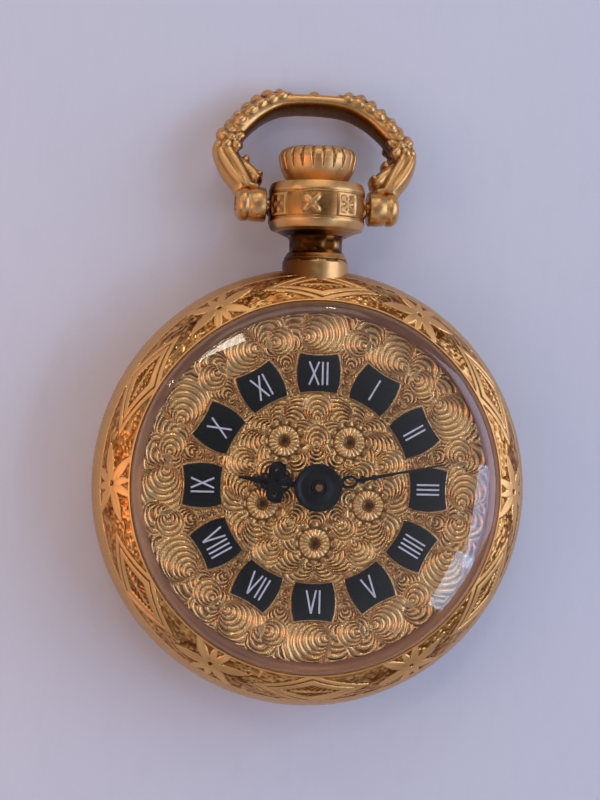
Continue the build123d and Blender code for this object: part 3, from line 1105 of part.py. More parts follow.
with BuildPart() as sliding_pinion:
    along_stem(SLIDING_RADIUS, SLIDING_START, SLIDING_END)
    with Locations(Location((0, 5.18, STEM_HEIGHT), (-90, 0, 0))):
        Cylinder(SLIDING_RADIUS + 0.1, 0.3, align=BASE, mode=Mode.SUBTRACT)
    along_stem(0.58, 5.1, 5.6)
    with Locations(Location((0, SLIDING_END, STEM_HEIGHT), (-90, 0, 0))):
        with PolarLocations(0.66, DOG_COUNT):
            Box(0.3, 0.16, 0.22, align=BASE)
    with Locations(Location((0, SLIDING_START - 0.1, STEM_HEIGHT), (-90, 0, 0))):
        with PolarLocations(0.8, BREGUET_TEETH):
            Box(0.3, 0.13, 0.25, align=BASE, mode=Mode.SUBTRACT)
    with Locations(Location((0, SLIDING_START - 0.1, STEM_HEIGHT), (-90, 0, 0))):
        Box(STEM_SQUARE + 0.04, STEM_SQUARE + 0.04, 2.0, align=BASE, mode=Mode.SUBTRACT)
save(sliding_pinion.part, "sliding_pinion")

LEVER_Z = (5.05, 5.2)
YOKE_Z = (4.85, 5.0)
with BuildPart() as setting_lever:
    hull_plate([(LEVER_PIVOT, 0.45), (LEVER_PIN, 0.2)], *LEVER_Z)
    hull_plate([(LEVER_PIVOT, 0.35), (step_from(LEVER_PIVOT, 1.15, 235), 0.15)], *LEVER_Z)
    disc(LEVER_PIN, 0.1, 4.0, LEVER_Z[0])
    disc(LEVER_PIVOT, 0.21, *LEVER_Z, Mode.SUBTRACT)
save(setting_lever.part, "setting_lever")

with BuildPart() as yoke:
    hull_plate([(YOKE_PIVOT, 0.4), (YOKE_FINGER, 0.16)], *YOKE_Z)
    disc(YOKE_FINGER, 0.1, 4.3, YOKE_Z[0])
    disc(YOKE_PIVOT, STUD_RADIUS + RUNNING, *YOKE_Z, Mode.SUBTRACT)
save(yoke.part, "yoke")

YOKE_SPRING_FOOT = (-3.35, 6.9)
YOKE_SPRING_BEND = (-3.4, 5.6)
YOKE_SPRING_TIP = (-3.15, 4.55)
with BuildPart() as yoke_spring:
    disc(YOKE_SPRING_FOOT, 0.28, MOTION_FLOOR, YOKE_Z[1])
    hull_plate([(YOKE_SPRING_FOOT, 0.07), (YOKE_SPRING_BEND, 0.05)], *YOKE_Z)
    hull_plate([(YOKE_SPRING_BEND, 0.05), (YOKE_SPRING_TIP, 0.04)], *YOKE_Z)
save(yoke_spring.part, "yoke_spring")
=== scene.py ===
import json
import math
from collections import namedtuple

import bmesh
import bpy
import numpy as np
from mathutils import Matrix, Vector


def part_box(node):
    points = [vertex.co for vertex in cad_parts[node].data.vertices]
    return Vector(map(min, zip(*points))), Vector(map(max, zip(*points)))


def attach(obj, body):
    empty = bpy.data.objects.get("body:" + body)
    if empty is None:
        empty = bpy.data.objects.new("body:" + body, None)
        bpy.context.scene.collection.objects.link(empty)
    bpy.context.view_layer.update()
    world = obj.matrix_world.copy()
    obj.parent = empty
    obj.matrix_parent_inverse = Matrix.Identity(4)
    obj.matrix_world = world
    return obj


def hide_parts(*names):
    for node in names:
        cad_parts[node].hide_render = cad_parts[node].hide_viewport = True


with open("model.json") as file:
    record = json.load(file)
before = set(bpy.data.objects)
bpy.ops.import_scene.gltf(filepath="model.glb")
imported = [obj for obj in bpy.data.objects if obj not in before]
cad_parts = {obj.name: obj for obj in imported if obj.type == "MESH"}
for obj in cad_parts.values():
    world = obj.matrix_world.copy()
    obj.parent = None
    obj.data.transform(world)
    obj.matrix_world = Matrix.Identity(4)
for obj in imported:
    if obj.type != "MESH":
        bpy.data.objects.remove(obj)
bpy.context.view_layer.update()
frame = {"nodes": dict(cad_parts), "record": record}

# ---------------------------------------------------------------- sizes, in millimetres
# The watch lies on its back: +Z comes out of the dial, +Y points to twelve and the crown.
MM = 0.001
TAU = 2 * math.pi


def box_mm(node):
    """A CAD node's lowest and highest corners, in millimetres."""
    low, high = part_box(node)
    return [value / MM for value in low], [value / MM for value in high]


CRYSTAL_LOW, CRYSTAL_HIGH = box_mm("crystal")
CROWN_LOW, CROWN_HIGH = box_mm("crown")
BEZEL_RADIUS, _, LIP_HEIGHT = box_mm("bezel")[1]
DIAL_RADIUS, _, DIAL_FACE = box_mm("dial")[1]
BEZEL_SEAM = box_mm("case_middle")[1][2]
CRYSTAL_SEAT, CRYSTAL_TOP = CRYSTAL_LOW[2], CRYSTAL_HIGH[2]
CRYSTAL_RADIUS = CRYSTAL_HIGH[0]
LIP_RADIUS = CRYSTAL_RADIUS + 0.05
STEM_HEIGHT = (CROWN_LOW[2] + CROWN_HIGH[2]) / 2
NUMERAL_RADIUS = 6.9

# ---------------------------------------------------------------- numbers and noise


def smooth_step(low, high, value):
    share = np.clip((value - low) / (high - low), 0, 1)
    return share * share * (3 - 2 * share)


def eased(old, new, share):
    """old where share is 0, new where it is 1."""
    return old + (new - old) * share


def lattice_noise(x, y, seed, size=64):
    """Smooth noise from 0 to 1 on a repeating lattice, the same on every run."""
    grid = np.random.RandomState(seed).rand(size, size)
    column = np.floor(x).astype(int)
    row = np.floor(y).astype(int)
    right = x - column
    up = y - row
    right = right * right * (3 - 2 * right)
    up = up * up * (3 - 2 * up)
    low = grid[row % size, column % size] * (1 - right) + grid[row % size, (column + 1) % size] * right
    high = grid[(row + 1) % size, column % size] * (1 - right)
    high = high + grid[(row + 1) % size, (column + 1) % size] * right
    return low * (1 - up) + high * up


def polar(radius, degrees):
    return (radius * math.cos(math.radians(degrees)), radius * math.sin(math.radians(degrees)))


# ---------------------------------------------------------------- meshes


def add_piece(name, mesh, body, material, sharp):
    """Puts a finished mesh in the scene, on its body; edges past sharp degrees stay crisp."""
    for face in mesh.polygons:
        face.use_smooth = True
    mesh.set_sharp_from_angle(angle=math.radians(sharp))
    piece = bpy.data.objects.new(name, mesh)
    bpy.context.scene.collection.objects.link(piece)
    piece.data.materials.clear()
    piece.data.materials.append(MATERIALS[material])
    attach(piece, body)
    return piece


def keep_relief(mesh, relief):
    """Keeps a relief value on each point, 0 in a hollow and 1 on a high place."""
    layer = mesh.attributes.new("relief", "FLOAT", "POINT")
    layer.data.foreach_set("value", np.asarray(relief, dtype=np.float32))


def mesh_from(name, points, faces, relief=None):
    """A mesh from millimetre points, with its relief if it has one."""
    mesh = bpy.data.meshes.new(name)
    mesh.from_pydata((np.asarray(points) * MM).tolist(), [], faces)
    if relief is not None:
        keep_relief(mesh, relief)
    return mesh


MERGE_WITHIN = 1e-7


def tidy_mesh(mesh):
    """Merges points that fall together and turns every face outward."""
    work = bmesh.new()
    work.from_mesh(mesh)
    bmesh.ops.remove_doubles(work, verts=work.verts, dist=MERGE_WITHIN)
    bmesh.ops.dissolve_degenerate(work, edges=work.edges, dist=MERGE_WITHIN / 10)
    bmesh.ops.recalc_face_normals(work, faces=work.faces)
    work.to_mesh(mesh)
    work.free()
    return mesh


def resample(points, spacing):
    """Points along a polyline, about evenly spaced."""
    points = np.asarray(points, dtype=float)
    lengths = np.hypot(*np.diff(points, axis=0).T)
    along = np.concatenate([[0], np.cumsum(lengths)])
    count = max(2, int(round(along[-1] / spacing)) + 1)
    wanted = np.linspace(0, along[-1], count)
    return np.stack([np.interp(wanted, along, points[:, i]) for i in range(2)], axis=1)


def arc_through(start, middle, end, count):
    """Points of the circular arc through three points."""
    (ax, ay), (bx, by), (cx, cy) = start, middle, end
    twice_area = 2 * (ax * (by - cy) + bx * (cy - ay) + cx * (ay - by))
    a, b, c = ax**2 + ay**2, bx**2 + by**2, cx**2 + cy**2
    ux = (a * (by - cy) + b * (cy - ay) + c * (ay - by)) / twice_area
    uy = (a * (cx - bx) + b * (ax - cx) + c * (bx - ax)) / twice_area
    radius = math.hypot(ax - ux, ay - uy)
    angles = [math.atan2(y - uy, x - ux) for x, y in (start, middle, end)]
    sweep = (angles[2] - angles[0]) % TAU
    if (angles[1] - angles[0]) % TAU > sweep:
        sweep -= TAU
    turns = [angles[0] + sweep * i / count for i in range(count + 1)]
    return [(ux + radius * math.cos(turn), uy + radius * math.sin(turn)) for turn in turns]


# Where each point of a lathed skin lies: its turn, its way along the section, and its place in it.
Skin = namedtuple("Skin", "angle distance radius height")


def tube_faces(rows, columns):
    """Four-sided faces of a closed skin whose rows and columns both come back to their start."""
    index = np.arange(rows * columns).reshape(rows, columns)
    after = np.roll(index, -1, axis=0)
    corners = [index, np.roll(index, -1, axis=1), np.roll(after, -1, axis=1), after]
    return np.stack(corners, axis=-1).reshape(-1, 4).tolist()


def lathe(name, profile, columns, displace=None, along_y=False):
    """Revolves a closed section of (radius, height) points, moving points along their normals.

    displace takes the Skin and returns the move and the relief value of each point.
    """
    profile = np.asarray(profile, dtype=float)
    rows = len(profile)
    ahead = np.roll(profile, -1, axis=0) - np.roll(profile, 1, axis=0)
    normal = np.stack([ahead[:, 1], -ahead[:, 0]], axis=1)
    normal /= np.maximum(np.hypot(normal[:, 0], normal[:, 1]), 1e-9)[:, None]
    lengths = np.hypot(*np.diff(profile, axis=0).T)
    along = np.concatenate([[0], np.cumsum(lengths)])
    angle, distance = np.meshgrid(np.arange(columns) * TAU / columns, along)
    radius = np.repeat(profile[:, :1], columns, axis=1)
    height = np.repeat(profile[:, 1:], columns, axis=1)
    relief = None
    if displace is not None:
        move, relief = displace(Skin(angle, distance, radius, height))
        radius = radius + move * normal[:, :1]
        height = height + move * normal[:, 1:]
        relief = relief.ravel()
    radius = np.maximum(radius, 0)
    if along_y:
        points = np.stack([radius * np.sin(angle), height, STEM_HEIGHT + radius * np.cos(angle)], axis=-1)
    else:
        points = np.stack([radius * np.cos(angle), radius * np.sin(angle), height], axis=-1)
    return tidy_mesh(mesh_from(name, points.reshape(-1, 3), tube_faces(rows, columns), relief))


def flat_shape(name, outlines, low, high, bevel=0.0):
    """A flat plate with straight walls: outlines in millimetres, inner ones cut holes."""
    curve = bpy.data.curves.new(name, "CURVE")
    curve.dimensions = "2D"
    curve.fill_mode = "BOTH"
    curve.extrude = max((high - low) / 2 - bevel, 0) * MM
    curve.bevel_depth = bevel * MM
    curve.bevel_resolution = 2
    curve.offset = -bevel * MM
    for outline in outlines:
        spline = curve.splines.new("POLY")
        spline.points.add(len(outline) - 1)
        for point, (x, y) in zip(spline.points, outline):
            point.co = (x * MM, y * MM, 0, 1)
        spline.use_cyclic_u = True
    holder = bpy.data.objects.new(name, curve)
    bpy.context.scene.collection.objects.link(holder)
    bpy.context.view_layer.update()
    mesh = bpy.data.meshes.new_from_object(holder.evaluated_get(bpy.context.evaluated_depsgraph_get()))
    bpy.data.objects.remove(holder)
    bpy.data.curves.remove(curve)
    mesh.transform(Matrix.Translation((0, 0, (low + high) / 2 * MM)))
    mesh.name = name
    return tidy_mesh(mesh)


def joined(name, meshes):
    """One mesh made of several."""
    work = bmesh.new()
    for mesh in meshes:
        work.from_mesh(mesh)
    merged = bpy.data.meshes.new(name)
    work.to_mesh(merged)
    work.free()
    for mesh in meshes:
        bpy.data.meshes.remove(mesh)
    return merged


def oval(centre, across, along, count=36):
    turns = [TAU * i / count for i in range(count)]
    return [(centre[0] + across * math.cos(turn), centre[1] + along * math.sin(turn)) for turn in turns]


def circle(radius):
    return oval((0, 0), radius, radius, 48)


def turned(outline, degrees, centre=(0, 0)):
    """An outline turned about its origin, and then carried to a centre."""
    c, s = polar(1, degrees)
    return [(centre[0] + x * c - y * s, centre[1] + x * s + y * c) for x, y in outline]


# ---------------------------------------------------------------- materials


MATERIALS = {}


class Nodes:
    """A short way to write a node tree."""

    def __init__(self, name):
        MATERIALS[name] = bpy.data.materials.new(name)
        MATERIALS[name].use_nodes = True
        self.tree = MATERIALS[name].node_tree
        self.tree.nodes.clear()
        self.output = self.tree.nodes.new("ShaderNodeOutputMaterial")

    def add(self, kind, sockets, **settings):
        """A node whose sockets are set to values, or linked to other nodes' outputs."""
        node = self.tree.nodes.new("ShaderNode" + kind)
        for key, value in settings.items():
            setattr(node, key, value)
        for socket, value in sockets.items():
            if isinstance(value, bpy.types.NodeSocket):
                self.tree.links.new(value, node.inputs[socket])
            elif node.inputs[socket].type == "RGBA":
                node.inputs[socket].default_value = (*value, 1)
            else:
                node.inputs[socket].default_value = value
        return node

    def position(self, stretch=(1, 1, 1)):
        """Object coordinates in metres, stretched."""
        place = self.add("TexCoord", {}).outputs["Object"]
        return self.add("Mapping", {"Vector": place, "Scale": stretch}).outputs["Vector"]

    def noise(self, scale, detail, roughness=0.6, stretch=(1, 1, 1)):
        sockets = {"Vector": self.position(stretch), "Scale": scale, "Detail": detail, "Roughness": roughness}
        return self.add("TexNoise", sockets).outputs["Fac"]

    def ramp(self, fac, stops):
        node = self.add("ValToRGB", {"Fac": fac})
        elements = node.color_ramp.elements
        while len(elements) < len(stops):
            elements.new(0.5)
        for element, (place, colour) in zip(elements, stops):
            element.position = place
            element.color = (*colour, 1)
        return node.outputs["Color"]

    def spread(self, fac, low, high, from_low=0.0, from_high=1.0):
        """A value moved from one range to another."""
        sockets = {"Value": fac, "From Min": from_low, "From Max": from_high, "To Min": low, "To Max": high}
        return self.add("MapRange", sockets).outputs["Result"]

    def mix(self, fac, first, second, blend="MIX"):
        return self.add("Mix", {0: fac, 6: first, 7: second}, data_type="RGBA", blend_type=blend).outputs[2]

    def bump(self, height, strength, distance, **normal):
        sockets = {"Height": height, "Strength": strength, "Distance": distance, **normal}
        return self.add("Bump", sockets).outputs["Normal"]

    def relief(self):
        return self.add("Attribute", {}, attribute_name="relief").outputs["Fac"]

    def finish(self, **sockets):
        """A Principled shader with these sockets, sent to the output."""
        spaced = {key.replace("_", " "): value for key, value in sockets.items()}
        shader = self.add("BsdfPrincipled", spaced)
        self.tree.links.new(shader.outputs[0], self.output.inputs["Surface"])
        return shader


def gold(name, bright, dark, rough, grain=9000, grain_depth=2e-6, worn_rough=0.0, use_relief=False):
    """Gold plate: warm metal, slightly mottled, and brown in the relief's hollows, partly as tarnish and
    partly as painted shade.

    worn_rough makes the high places of the relief more matt than the hollows.
    """
    n = Nodes(name)
    blotch = n.noise(900, 5)
    fine = n.noise(grain, 3)
    colour = n.mix(n.spread(blotch, 0.0, 0.45, 0.35, 0.7), bright, tuple(0.78 * c for c in bright))
    roughness = n.spread(n.noise(2500, 4), rough[0], rough[1], 0.3, 0.7)
    if use_relief:
        half = tuple(0.42 * light + 0.40 * low for low, light in zip(dark, (1.0, 0.80, 0.55)))
        # The relief ramp darkens the hollows: partly tarnish, partly painted shade.
        tarnish_and_shade = n.ramp(n.relief(), ((0.0, dark), (0.36, half), (0.72, (1, 1, 1))))
        colour = n.mix(1.0, colour, tarnish_and_shade, "MULTIPLY")
        lift = n.spread(n.relief(), 0.0, worn_rough, 0.55, 0.9)
        roughness = n.add("Math", {0: roughness, 1: lift}, operation="ADD").outputs[0]
    n.finish(Base_Color=colour, Metallic=1.0, Roughness=roughness, Normal=n.bump(fine, 0.35, grain_depth))


def metal(name, bright, shade, rough, stretch=(1, 1, 1), scale=3000, depth=2e-6):
    """Machined metal: fine directional grain in colour, gloss and surface."""
    n = Nodes(name)
    grain = n.noise(scale, 3, 0.55, stretch)
    cloud = n.noise(700, 3)
    colour = n.mix(n.spread(cloud, 0.0, 0.35, 0.4, 0.8), n.mix(grain, shade, bright), shade)
    roughness = n.spread(grain, rough[0], rough[1], 0.3, 0.7)
    n.finish(Base_Color=colour, Metallic=1.0, Roughness=roughness, Normal=n.bump(grain, 0.5, depth))


def striped_nickel(name):
    """Bridges: nickel with straight decorative stripes and a fine grain across them."""
    n = Nodes(name)
    sockets = {"Vector": n.position(), "Scale": 260, "Distortion": 0.0}
    bands = {"wave_type": "BANDS", "bands_direction": "DIAGONAL", "wave_profile": "SAW"}
    stripes = n.add("TexWave", sockets, **bands).outputs["Fac"]
    grain = n.noise(5000, 3, 0.6, (1, 0.15, 1))
    normal = n.bump(grain, 0.3, 1.5e-6, Normal=n.bump(stripes, 0.4, 8e-6))
    colour = n.mix(grain, (0.52, 0.50, 0.47), (0.74, 0.72, 0.68))
    n.finish(Base_Color=colour, Metallic=1.0, Roughness=n.spread(stripes, 0.18, 0.34), Normal=normal)


def lacquer(name, colour, glow, rough):
    """Black lacquer or enamel: nearly black, with faint dust and orange peel."""
    n = Nodes(name)
    tone = n.mix(n.spread(n.noise(6000, 4), 0.0, 0.5, 0.55, 0.8), colour, glow)
    roughness = n.spread(n.noise(1500, 4), rough[0], rough[1], 0.3, 0.7)
    normal = n.bump(n.noise(2500, 2), 0.15, 3e-6)
    n.finish(Base_Color=tone, Roughness=roughness, Normal=normal, Specular_IOR_Level=0.22)


def print_white(name):
    """Numeral paint: cool white, slightly uneven."""
    n = Nodes(name)
    tone = n.mix(n.noise(4000, 3), (0.42, 0.42, 0.50), (0.60, 0.60, 0.70))
    n.finish(Base_Color=tone, Roughness=0.5, Normal=n.bump(n.noise(9000, 2), 0.2, 2e-6))


def clear_crystal(name):
    """Polished acrylic that lets lamp light through to the dial."""
    n = Nodes(name)
    tint = n.mix(n.noise(200, 3), (0.965, 0.955, 0.95), (0.99, 0.985, 0.98))
    scratch = n.bump(n.noise(2500, 4, 0.7, (1, 0.05, 1)), 0.02, 1e-6)
    glass = n.finish(Base_Color=tint, Roughness=0.0, Normal=scratch, IOR=1.46, Transmission_Weight=1.0)
    in_shadow = n.add("LightPath", {}).outputs["Is Shadow Ray"]
    clear = n.add("BsdfTransparent", {}).outputs[0]
    both = n.add("MixShader", {0: in_shadow, 1: glass.outputs[0], 2: clear})
    n.tree.links.new(both.outputs[0], n.output.inputs["Surface"])


def ruby(name):
    """Jewels: clear deep red, polished."""
    n = Nodes(name)
    tone = n.mix(n.noise(5000, 3), (0.42, 0.01, 0.05), (0.75, 0.05, 0.14))
    n.finish(Base_Color=tone, Roughness=n.spread(n.noise(3000, 2), 0.04, 0.14), Coat_Weight=0.5)


def blued(name):
    """Steel screws and springs, blued by heat."""
    n = Nodes(name)
    grain = n.noise(5000, 3, 0.6, (1, 0.2, 1))
    tone = n.mix(grain, (0.02, 0.05, 0.28), (0.06, 0.14, 0.55))
    normal = n.bump(grain, 0.3, 1.5e-6)
    n.finish(Base_Color=tone, Metallic=1.0, Roughness=n.spread(grain, 0.16, 0.3), Normal=normal)


def paper(name):
    """The pale surface under the watch: soft lavender grey with a faint fibre."""
    n = Nodes(name)
    fibre = n.noise(900, 4, 0.7, (1, 0.35, 1))
    tone = n.mix(n.noise(35, 3), (0.70, 0.71, 0.79), (0.76, 0.77, 0.86))
    tone = n.mix(n.spread(fibre, 0.0, 0.30, 0.5, 0.75), tone, (0.66, 0.67, 0.75))
    n.finish(Base_Color=tone, Roughness=0.75, Normal=n.bump(fibre, 0.25, 6e-5))


GOLD_DARK = (0.075, 0.038, 0.018)
gold("gold_case", (0.72, 0.40, 0.145), GOLD_DARK, (0.20, 0.40), 6000, 4e-6)
gold("gold_bezel", (0.88, 0.485, 0.18), (0.17, 0.06, 0.02), (0.09, 0.20), 11000, 5e-6, 0.28, True)
gold("gold_relief", (0.74, 0.41, 0.155), GOLD_DARK, (0.22, 0.38), 5000, 9e-6, 0.05, True)
gold("gold_dial", (0.80, 0.50, 0.20), (0.14, 0.065, 0.022), (0.18, 0.32), use_relief=True)
gold("dull_bronze", (0.34, 0.155, 0.07), (0.1, 0.05, 0.03), (0.34, 0.46))
clear_crystal("crystal")
lacquer("enamel", (0.003, 0.004, 0.003), (0.014, 0.015, 0.012), (0.1, 0.2))
lacquer("black_hand", (0.002, 0.002, 0.002), (0.012, 0.010, 0.009), (0.3, 0.45))
print_white("numeral")
metal("movement_brass", (0.80, 0.60, 0.30), (0.60, 0.42, 0.20), (0.26, 0.42))
striped_nickel("bridge_nickel")
metal("steel", (0.62, 0.63, 0.66), (0.42, 0.43, 0.46), (0.14, 0.28), (1, 0.1, 1), 5000, 1e-6)
blued("blued_steel")
ruby("ruby")
paper("paper")

# Every CAD node takes its slot's finish; two show at the dial's centre and are darker than their kind.
finish_of = {row["node"]: row["material_slot"] for row in frame["record"]["subparts"]}
finish_of.update(cannon_pinion="black_hand", centre_wheel="dull_bronze")
for node, finish in finish_of.items():
    node_materials = frame["nodes"][node].data.materials
    node_materials.clear()
    node_materials.append(MATERIALS[finish])

# ---------------------------------------------------------------- case, bezel and crystal
BEZEL_ARC = arc_through((BEZEL_RADIUS, BEZEL_SEAM), (12.45, 6.08), (LIP_RADIUS, LIP_HEIGHT), 60)
BEZEL_SPAN = sum(math.dist(a, b) for a, b in zip(BEZEL_ARC, BEZEL_ARC[1:]))
BEZEL_MEAN_RADIUS = 12.35
ENGRAVING = 0.10
SIDE_BY_SIDE = 60  # degrees from one lozenge to the next, with a flower half way
PETALS, PETAL_TILT, EYE_RADIUS = 8, 12, 0.12
RIBBON_WIDTH = 0.24


def leaf(along, aside, length, width):
    """A pointed petal: distance inside its outline, in mm, negative outside."""
    share = np.clip(along / length, 0, 1)
    half = width * np.sin(math.pi * share**0.8) ** 0.75
    return np.where((along > 0) & (along < length), half - np.abs(aside), -1.0)


def step_up(inside, width=0.05):
    """1 well inside an outline and 0 outside it, over a short slope."""
    return smooth_step(0, width, inside)


def bezel_relief(skin):
    """Engraving of the bezel: framed lozenges and eight-petalled flowers on a streaky grain."""
    across = skin.distance - BEZEL_SPAN / 2
    clock = np.degrees(skin.angle) - 90
    degree = BEZEL_MEAN_RADIUS * math.radians(1)
    lozenge_s = (np.mod(clock + SIDE_BY_SIDE / 2, SIDE_BY_SIDE) - SIDE_BY_SIDE / 2) * degree
    flower_s = (np.mod(clock, SIDE_BY_SIDE) - SIDE_BY_SIDE / 2) * degree
    arc = np.mod(clock, 360) * degree

    # Ground: long streaks round the case, broken by pits that sparkle.
    drift = 0.12 * np.sin(np.radians(clock * 24)) + 0.06 * np.sin(np.radians(clock * 66))
    streak = lattice_noise(arc * 1.1 + 3, (across + drift) * 12 + 40, 3, 256)
    pits = lattice_noise(arc * 5.2 + 9, across * 6.5 + 70, 4, 512)
    ground = 0.22 + 0.34 * streak + 0.42 * (pits - 0.35)

    # Flower: petals round a small eye, longest along the bezel, on a stippled field.
    reach = np.hypot(flower_s / 2.5, across / 1.3)
    stipple = 0.05 + 0.6 * lattice_noise(arc * 6.5 + 10, across * 6.5 + 100, 5, 512) ** 1.5
    height = eased(ground, stipple, smooth_step(1.0, 0.75, reach))
    for k in range(PETALS):
        turn = math.radians(360 / PETALS * k + PETAL_TILT)
        lengthwise = abs(math.cos(turn))
        length = 1.15 + 1.30 * lengthwise**2
        width = 0.23 + 0.10 * lengthwise
        along = flower_s * math.cos(turn) + across * math.sin(turn) - EYE_RADIUS - 0.01
        aside = -flower_s * math.sin(turn) + across * math.cos(turn)
        inside = leaf(along, aside, length, width)
        vein = 0.10 * np.exp(-((aside / 0.05) ** 2)) * smooth_step(0.1, 0.4, along)
        facet = 0.93 + 0.12 * aside / width - vein
        height = eased(height, facet, step_up(inside, 0.045))
    height = np.where(np.hypot(flower_s, across) < EYE_RADIUS, 0.15, height)

    # Lozenge: two flat ribbons round a sunk leafy middle; the outer one crosses at its tips.
    def diamond(length, width):
        lean = length / math.hypot(length, width)
        return (width * (1 - np.abs(lozenge_s) / length) - np.abs(across)) * lean

    outer = diamond(3.7, 1.30)
    height = eased(height, 0.12 + 0.2 * pits, step_up(outer + 0.05))
    height = eased(height, 0.95, step_up(outer) * (1 - step_up(outer - RIBBON_WIDTH)))
    height = eased(height, 1.0, step_up(diamond(2.75, 0.93)))
    middle = diamond(1.95, 0.58)
    leafy = 0.12 + 0.75 * np.exp(-((across / 0.09) ** 2)) * smooth_step(1.5, 1.0, np.abs(lozenge_s))
    vein_s = np.abs(lozenge_s) * 1.1 - np.abs(across) * 1.7
    leafy += 0.40 * (0.5 + 0.5 * np.cos(TAU * vein_s / 0.42)) ** 2 + 0.2 * (pits - 0.5)
    height = eased(height, leafy, step_up(middle))

    # A plain rim on both sides, and nothing engraved past the band.
    rim = smooth_step(BEZEL_SPAN / 2 - 0.13, BEZEL_SPAN / 2 - 0.08, np.abs(across))
    on_band = skin.distance <= BEZEL_SPAN
    height = np.where(on_band, eased(height, 0.9, rim), 1.0)
    fade = smooth_step(0, 0.08, skin.distance) * smooth_step(0, 0.06, BEZEL_SPAN - skin.distance)
    move = np.where(on_band, (height - 1.0) * ENGRAVING * fade, 0)
    return move, np.clip(height, 0, 1)


bezel_section = BEZEL_ARC + [
    (LIP_RADIUS - 0.02, LIP_HEIGHT - 0.03),
    (LIP_RADIUS - 0.03, CRYSTAL_SEAT - 0.02),
    (DIAL_RADIUS + 0.06, CRYSTAL_SEAT - 0.04),
    (DIAL_RADIUS + 0.06, BEZEL_SEAM),
]
bezel_mesh = lathe("engraved_bezel", bezel_section, 1500, bezel_relief)
bezel = add_piece("engraved_bezel", bezel_mesh, "case", "gold_bezel", 60)
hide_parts("bezel")

# The crystal: an upright skirt, a rounded shoulder and a shallow dome, about 0.75 thick.
SKIRT_RADIUS = CRYSTAL_RADIUS - 0.22
SKIRT_TOP = (CRYSTAL_RADIUS, 6.6)
DOME_EDGE, DOME_INNER_EDGE = (10.6, 7.45), (10.2, 6.95)
DOME_THICKNESS = 0.75
crystal_section = (
    [(CRYSTAL_RADIUS, CRYSTAL_SEAT), SKIRT_TOP]
    + arc_through(SKIRT_TOP, (11.1, 7.15), DOME_EDGE, 12)[1:]
    + arc_through(DOME_EDGE, (5.45, 8.386), (0.0, CRYSTAL_TOP), 60)[1:]
    + arc_through((0.0, CRYSTAL_TOP - DOME_THICKNESS), (5.2, 7.69), DOME_INNER_EDGE, 60)
    + arc_through(DOME_INNER_EDGE, (10.85, 6.78), (SKIRT_RADIUS, 6.4), 8)[1:]
    + [(SKIRT_RADIUS, CRYSTAL_SEAT)]
)
glass = add_piece("domed_crystal", lathe("domed_crystal", crystal_section, 360), "case",
                  "crystal", 50)
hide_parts("crystal")

# The dull sloping ring between the crystal and the dial.
FLANGE_TOP, FLANGE_FOOT = (SKIRT_RADIUS - 0.10, 6.44), (DIAL_RADIUS - 0.34, DIAL_FACE + 0.06)
FLANGE_SPACING = 0.05
flange_section = resample(
    [(DIAL_RADIUS - 0.30, DIAL_FACE + 0.04), (SKIRT_RADIUS - 0.02, CRYSTAL_SEAT - 0.03),
     (SKIRT_RADIUS - 0.02, 6.42), FLANGE_TOP]
    + arc_through(FLANGE_TOP, (10.72, 6.18), FLANGE_FOOT, 10)[1:],
    FLANGE_SPACING,
)
add_piece("inner_flange", lathe("inner_flange", flange_section, 360), "case",
          "dull_bronze", 40)

# ---------------------------------------------------------------- dial
DIAL_HOLE = 0.75
DIAL_SPLIT = 5.72
DIAL_LOW_FACE = 5.4
DIAL_RELIEF = 0.16
RIDGE = 0.38
HOUR_STEP = 30
ROSETTES, ROSETTE_DISTANCE, ROSETTE_RADIUS = 5, 3.4, 1.17


def crescents(x, y, centre, way, radius, pull, height_now, level, pitch=RIDGE, depth=0.62):
    """Nested arcs that crowd to one side of a disc and die away there, over what is there already.

    way is the direction, in degrees, in which the arcs crowd together.
    """
    pull = min(0.88, 1.2 * pull)
    ux, uy = polar(1, way)
    qx = x - centre[0] - ux * radius * pull
    qy = y - centre[1] - uy * radius * pull
    lean = qx * ux + qy * uy
    size = (pull * lean + np.sqrt((pull * lean) ** 2 + (1 - pull**2) * (qx**2 + qy**2))) / (1 - pull**2)
    ridge = (0.5 + 0.5 * np.cos(TAU * (size - radius) * (1 + pull) / pitch)) ** 0.75
    toward = lean / np.maximum(np.hypot(qx, qy), 1e-6)
    open_side = smooth_step(0.75, -0.1, toward) if pull > 0.35 else 1.0
    new = level - 0.12 + 0.18 * (size / radius) + depth * (ridge - 0.6) * open_side
    return eased(height_now, new, smooth_step(radius, radius - 0.05, size))


def bowed_side(v):
    """Half the width of a cartouche, at v outward from its middle."""
    return 1.33 - 0.20 * (v / 1.15) ** 2


def hollow_end(u):
    """Half the height of a cartouche, at u round the dial from its middle."""
    return 1.08 + 0.15 * (u / 1.3) ** 2


def rosette(dx, dy):
    """Height of a rosette, and how far it covers the ground: cup, ribbed collar and scalloped skirt."""
    away = np.hypot(dx, dy) / ROSETTE_RADIUS
    spin = np.arctan2(dy, dx)
    ribs = 0.5 + 0.5 * np.cos(spin * 20)
    skirt = 0.22 + 0.40 * (0.5 + 0.5 * np.cos(spin * 12)) * smooth_step(0.82, 0.95, away)
    collar = 0.88 - 0.34 * ((away - 0.56) / 0.26) ** 2 - 0.36 * (1 - ribs)
    cup = -0.05 + 0.35 * smooth_step(0.0, 0.36, away)
    bloom = np.where(away < 0.34, cup, np.where(away < 0.80, collar, skirt))
    bloom = np.where(np.abs(away - 0.83) < 0.04, 0.22, bloom)
    scallop = 1.13 + 0.06 * np.cos(spin * 12)
    return bloom, smooth_step(scallop, scallop - 0.06, away)


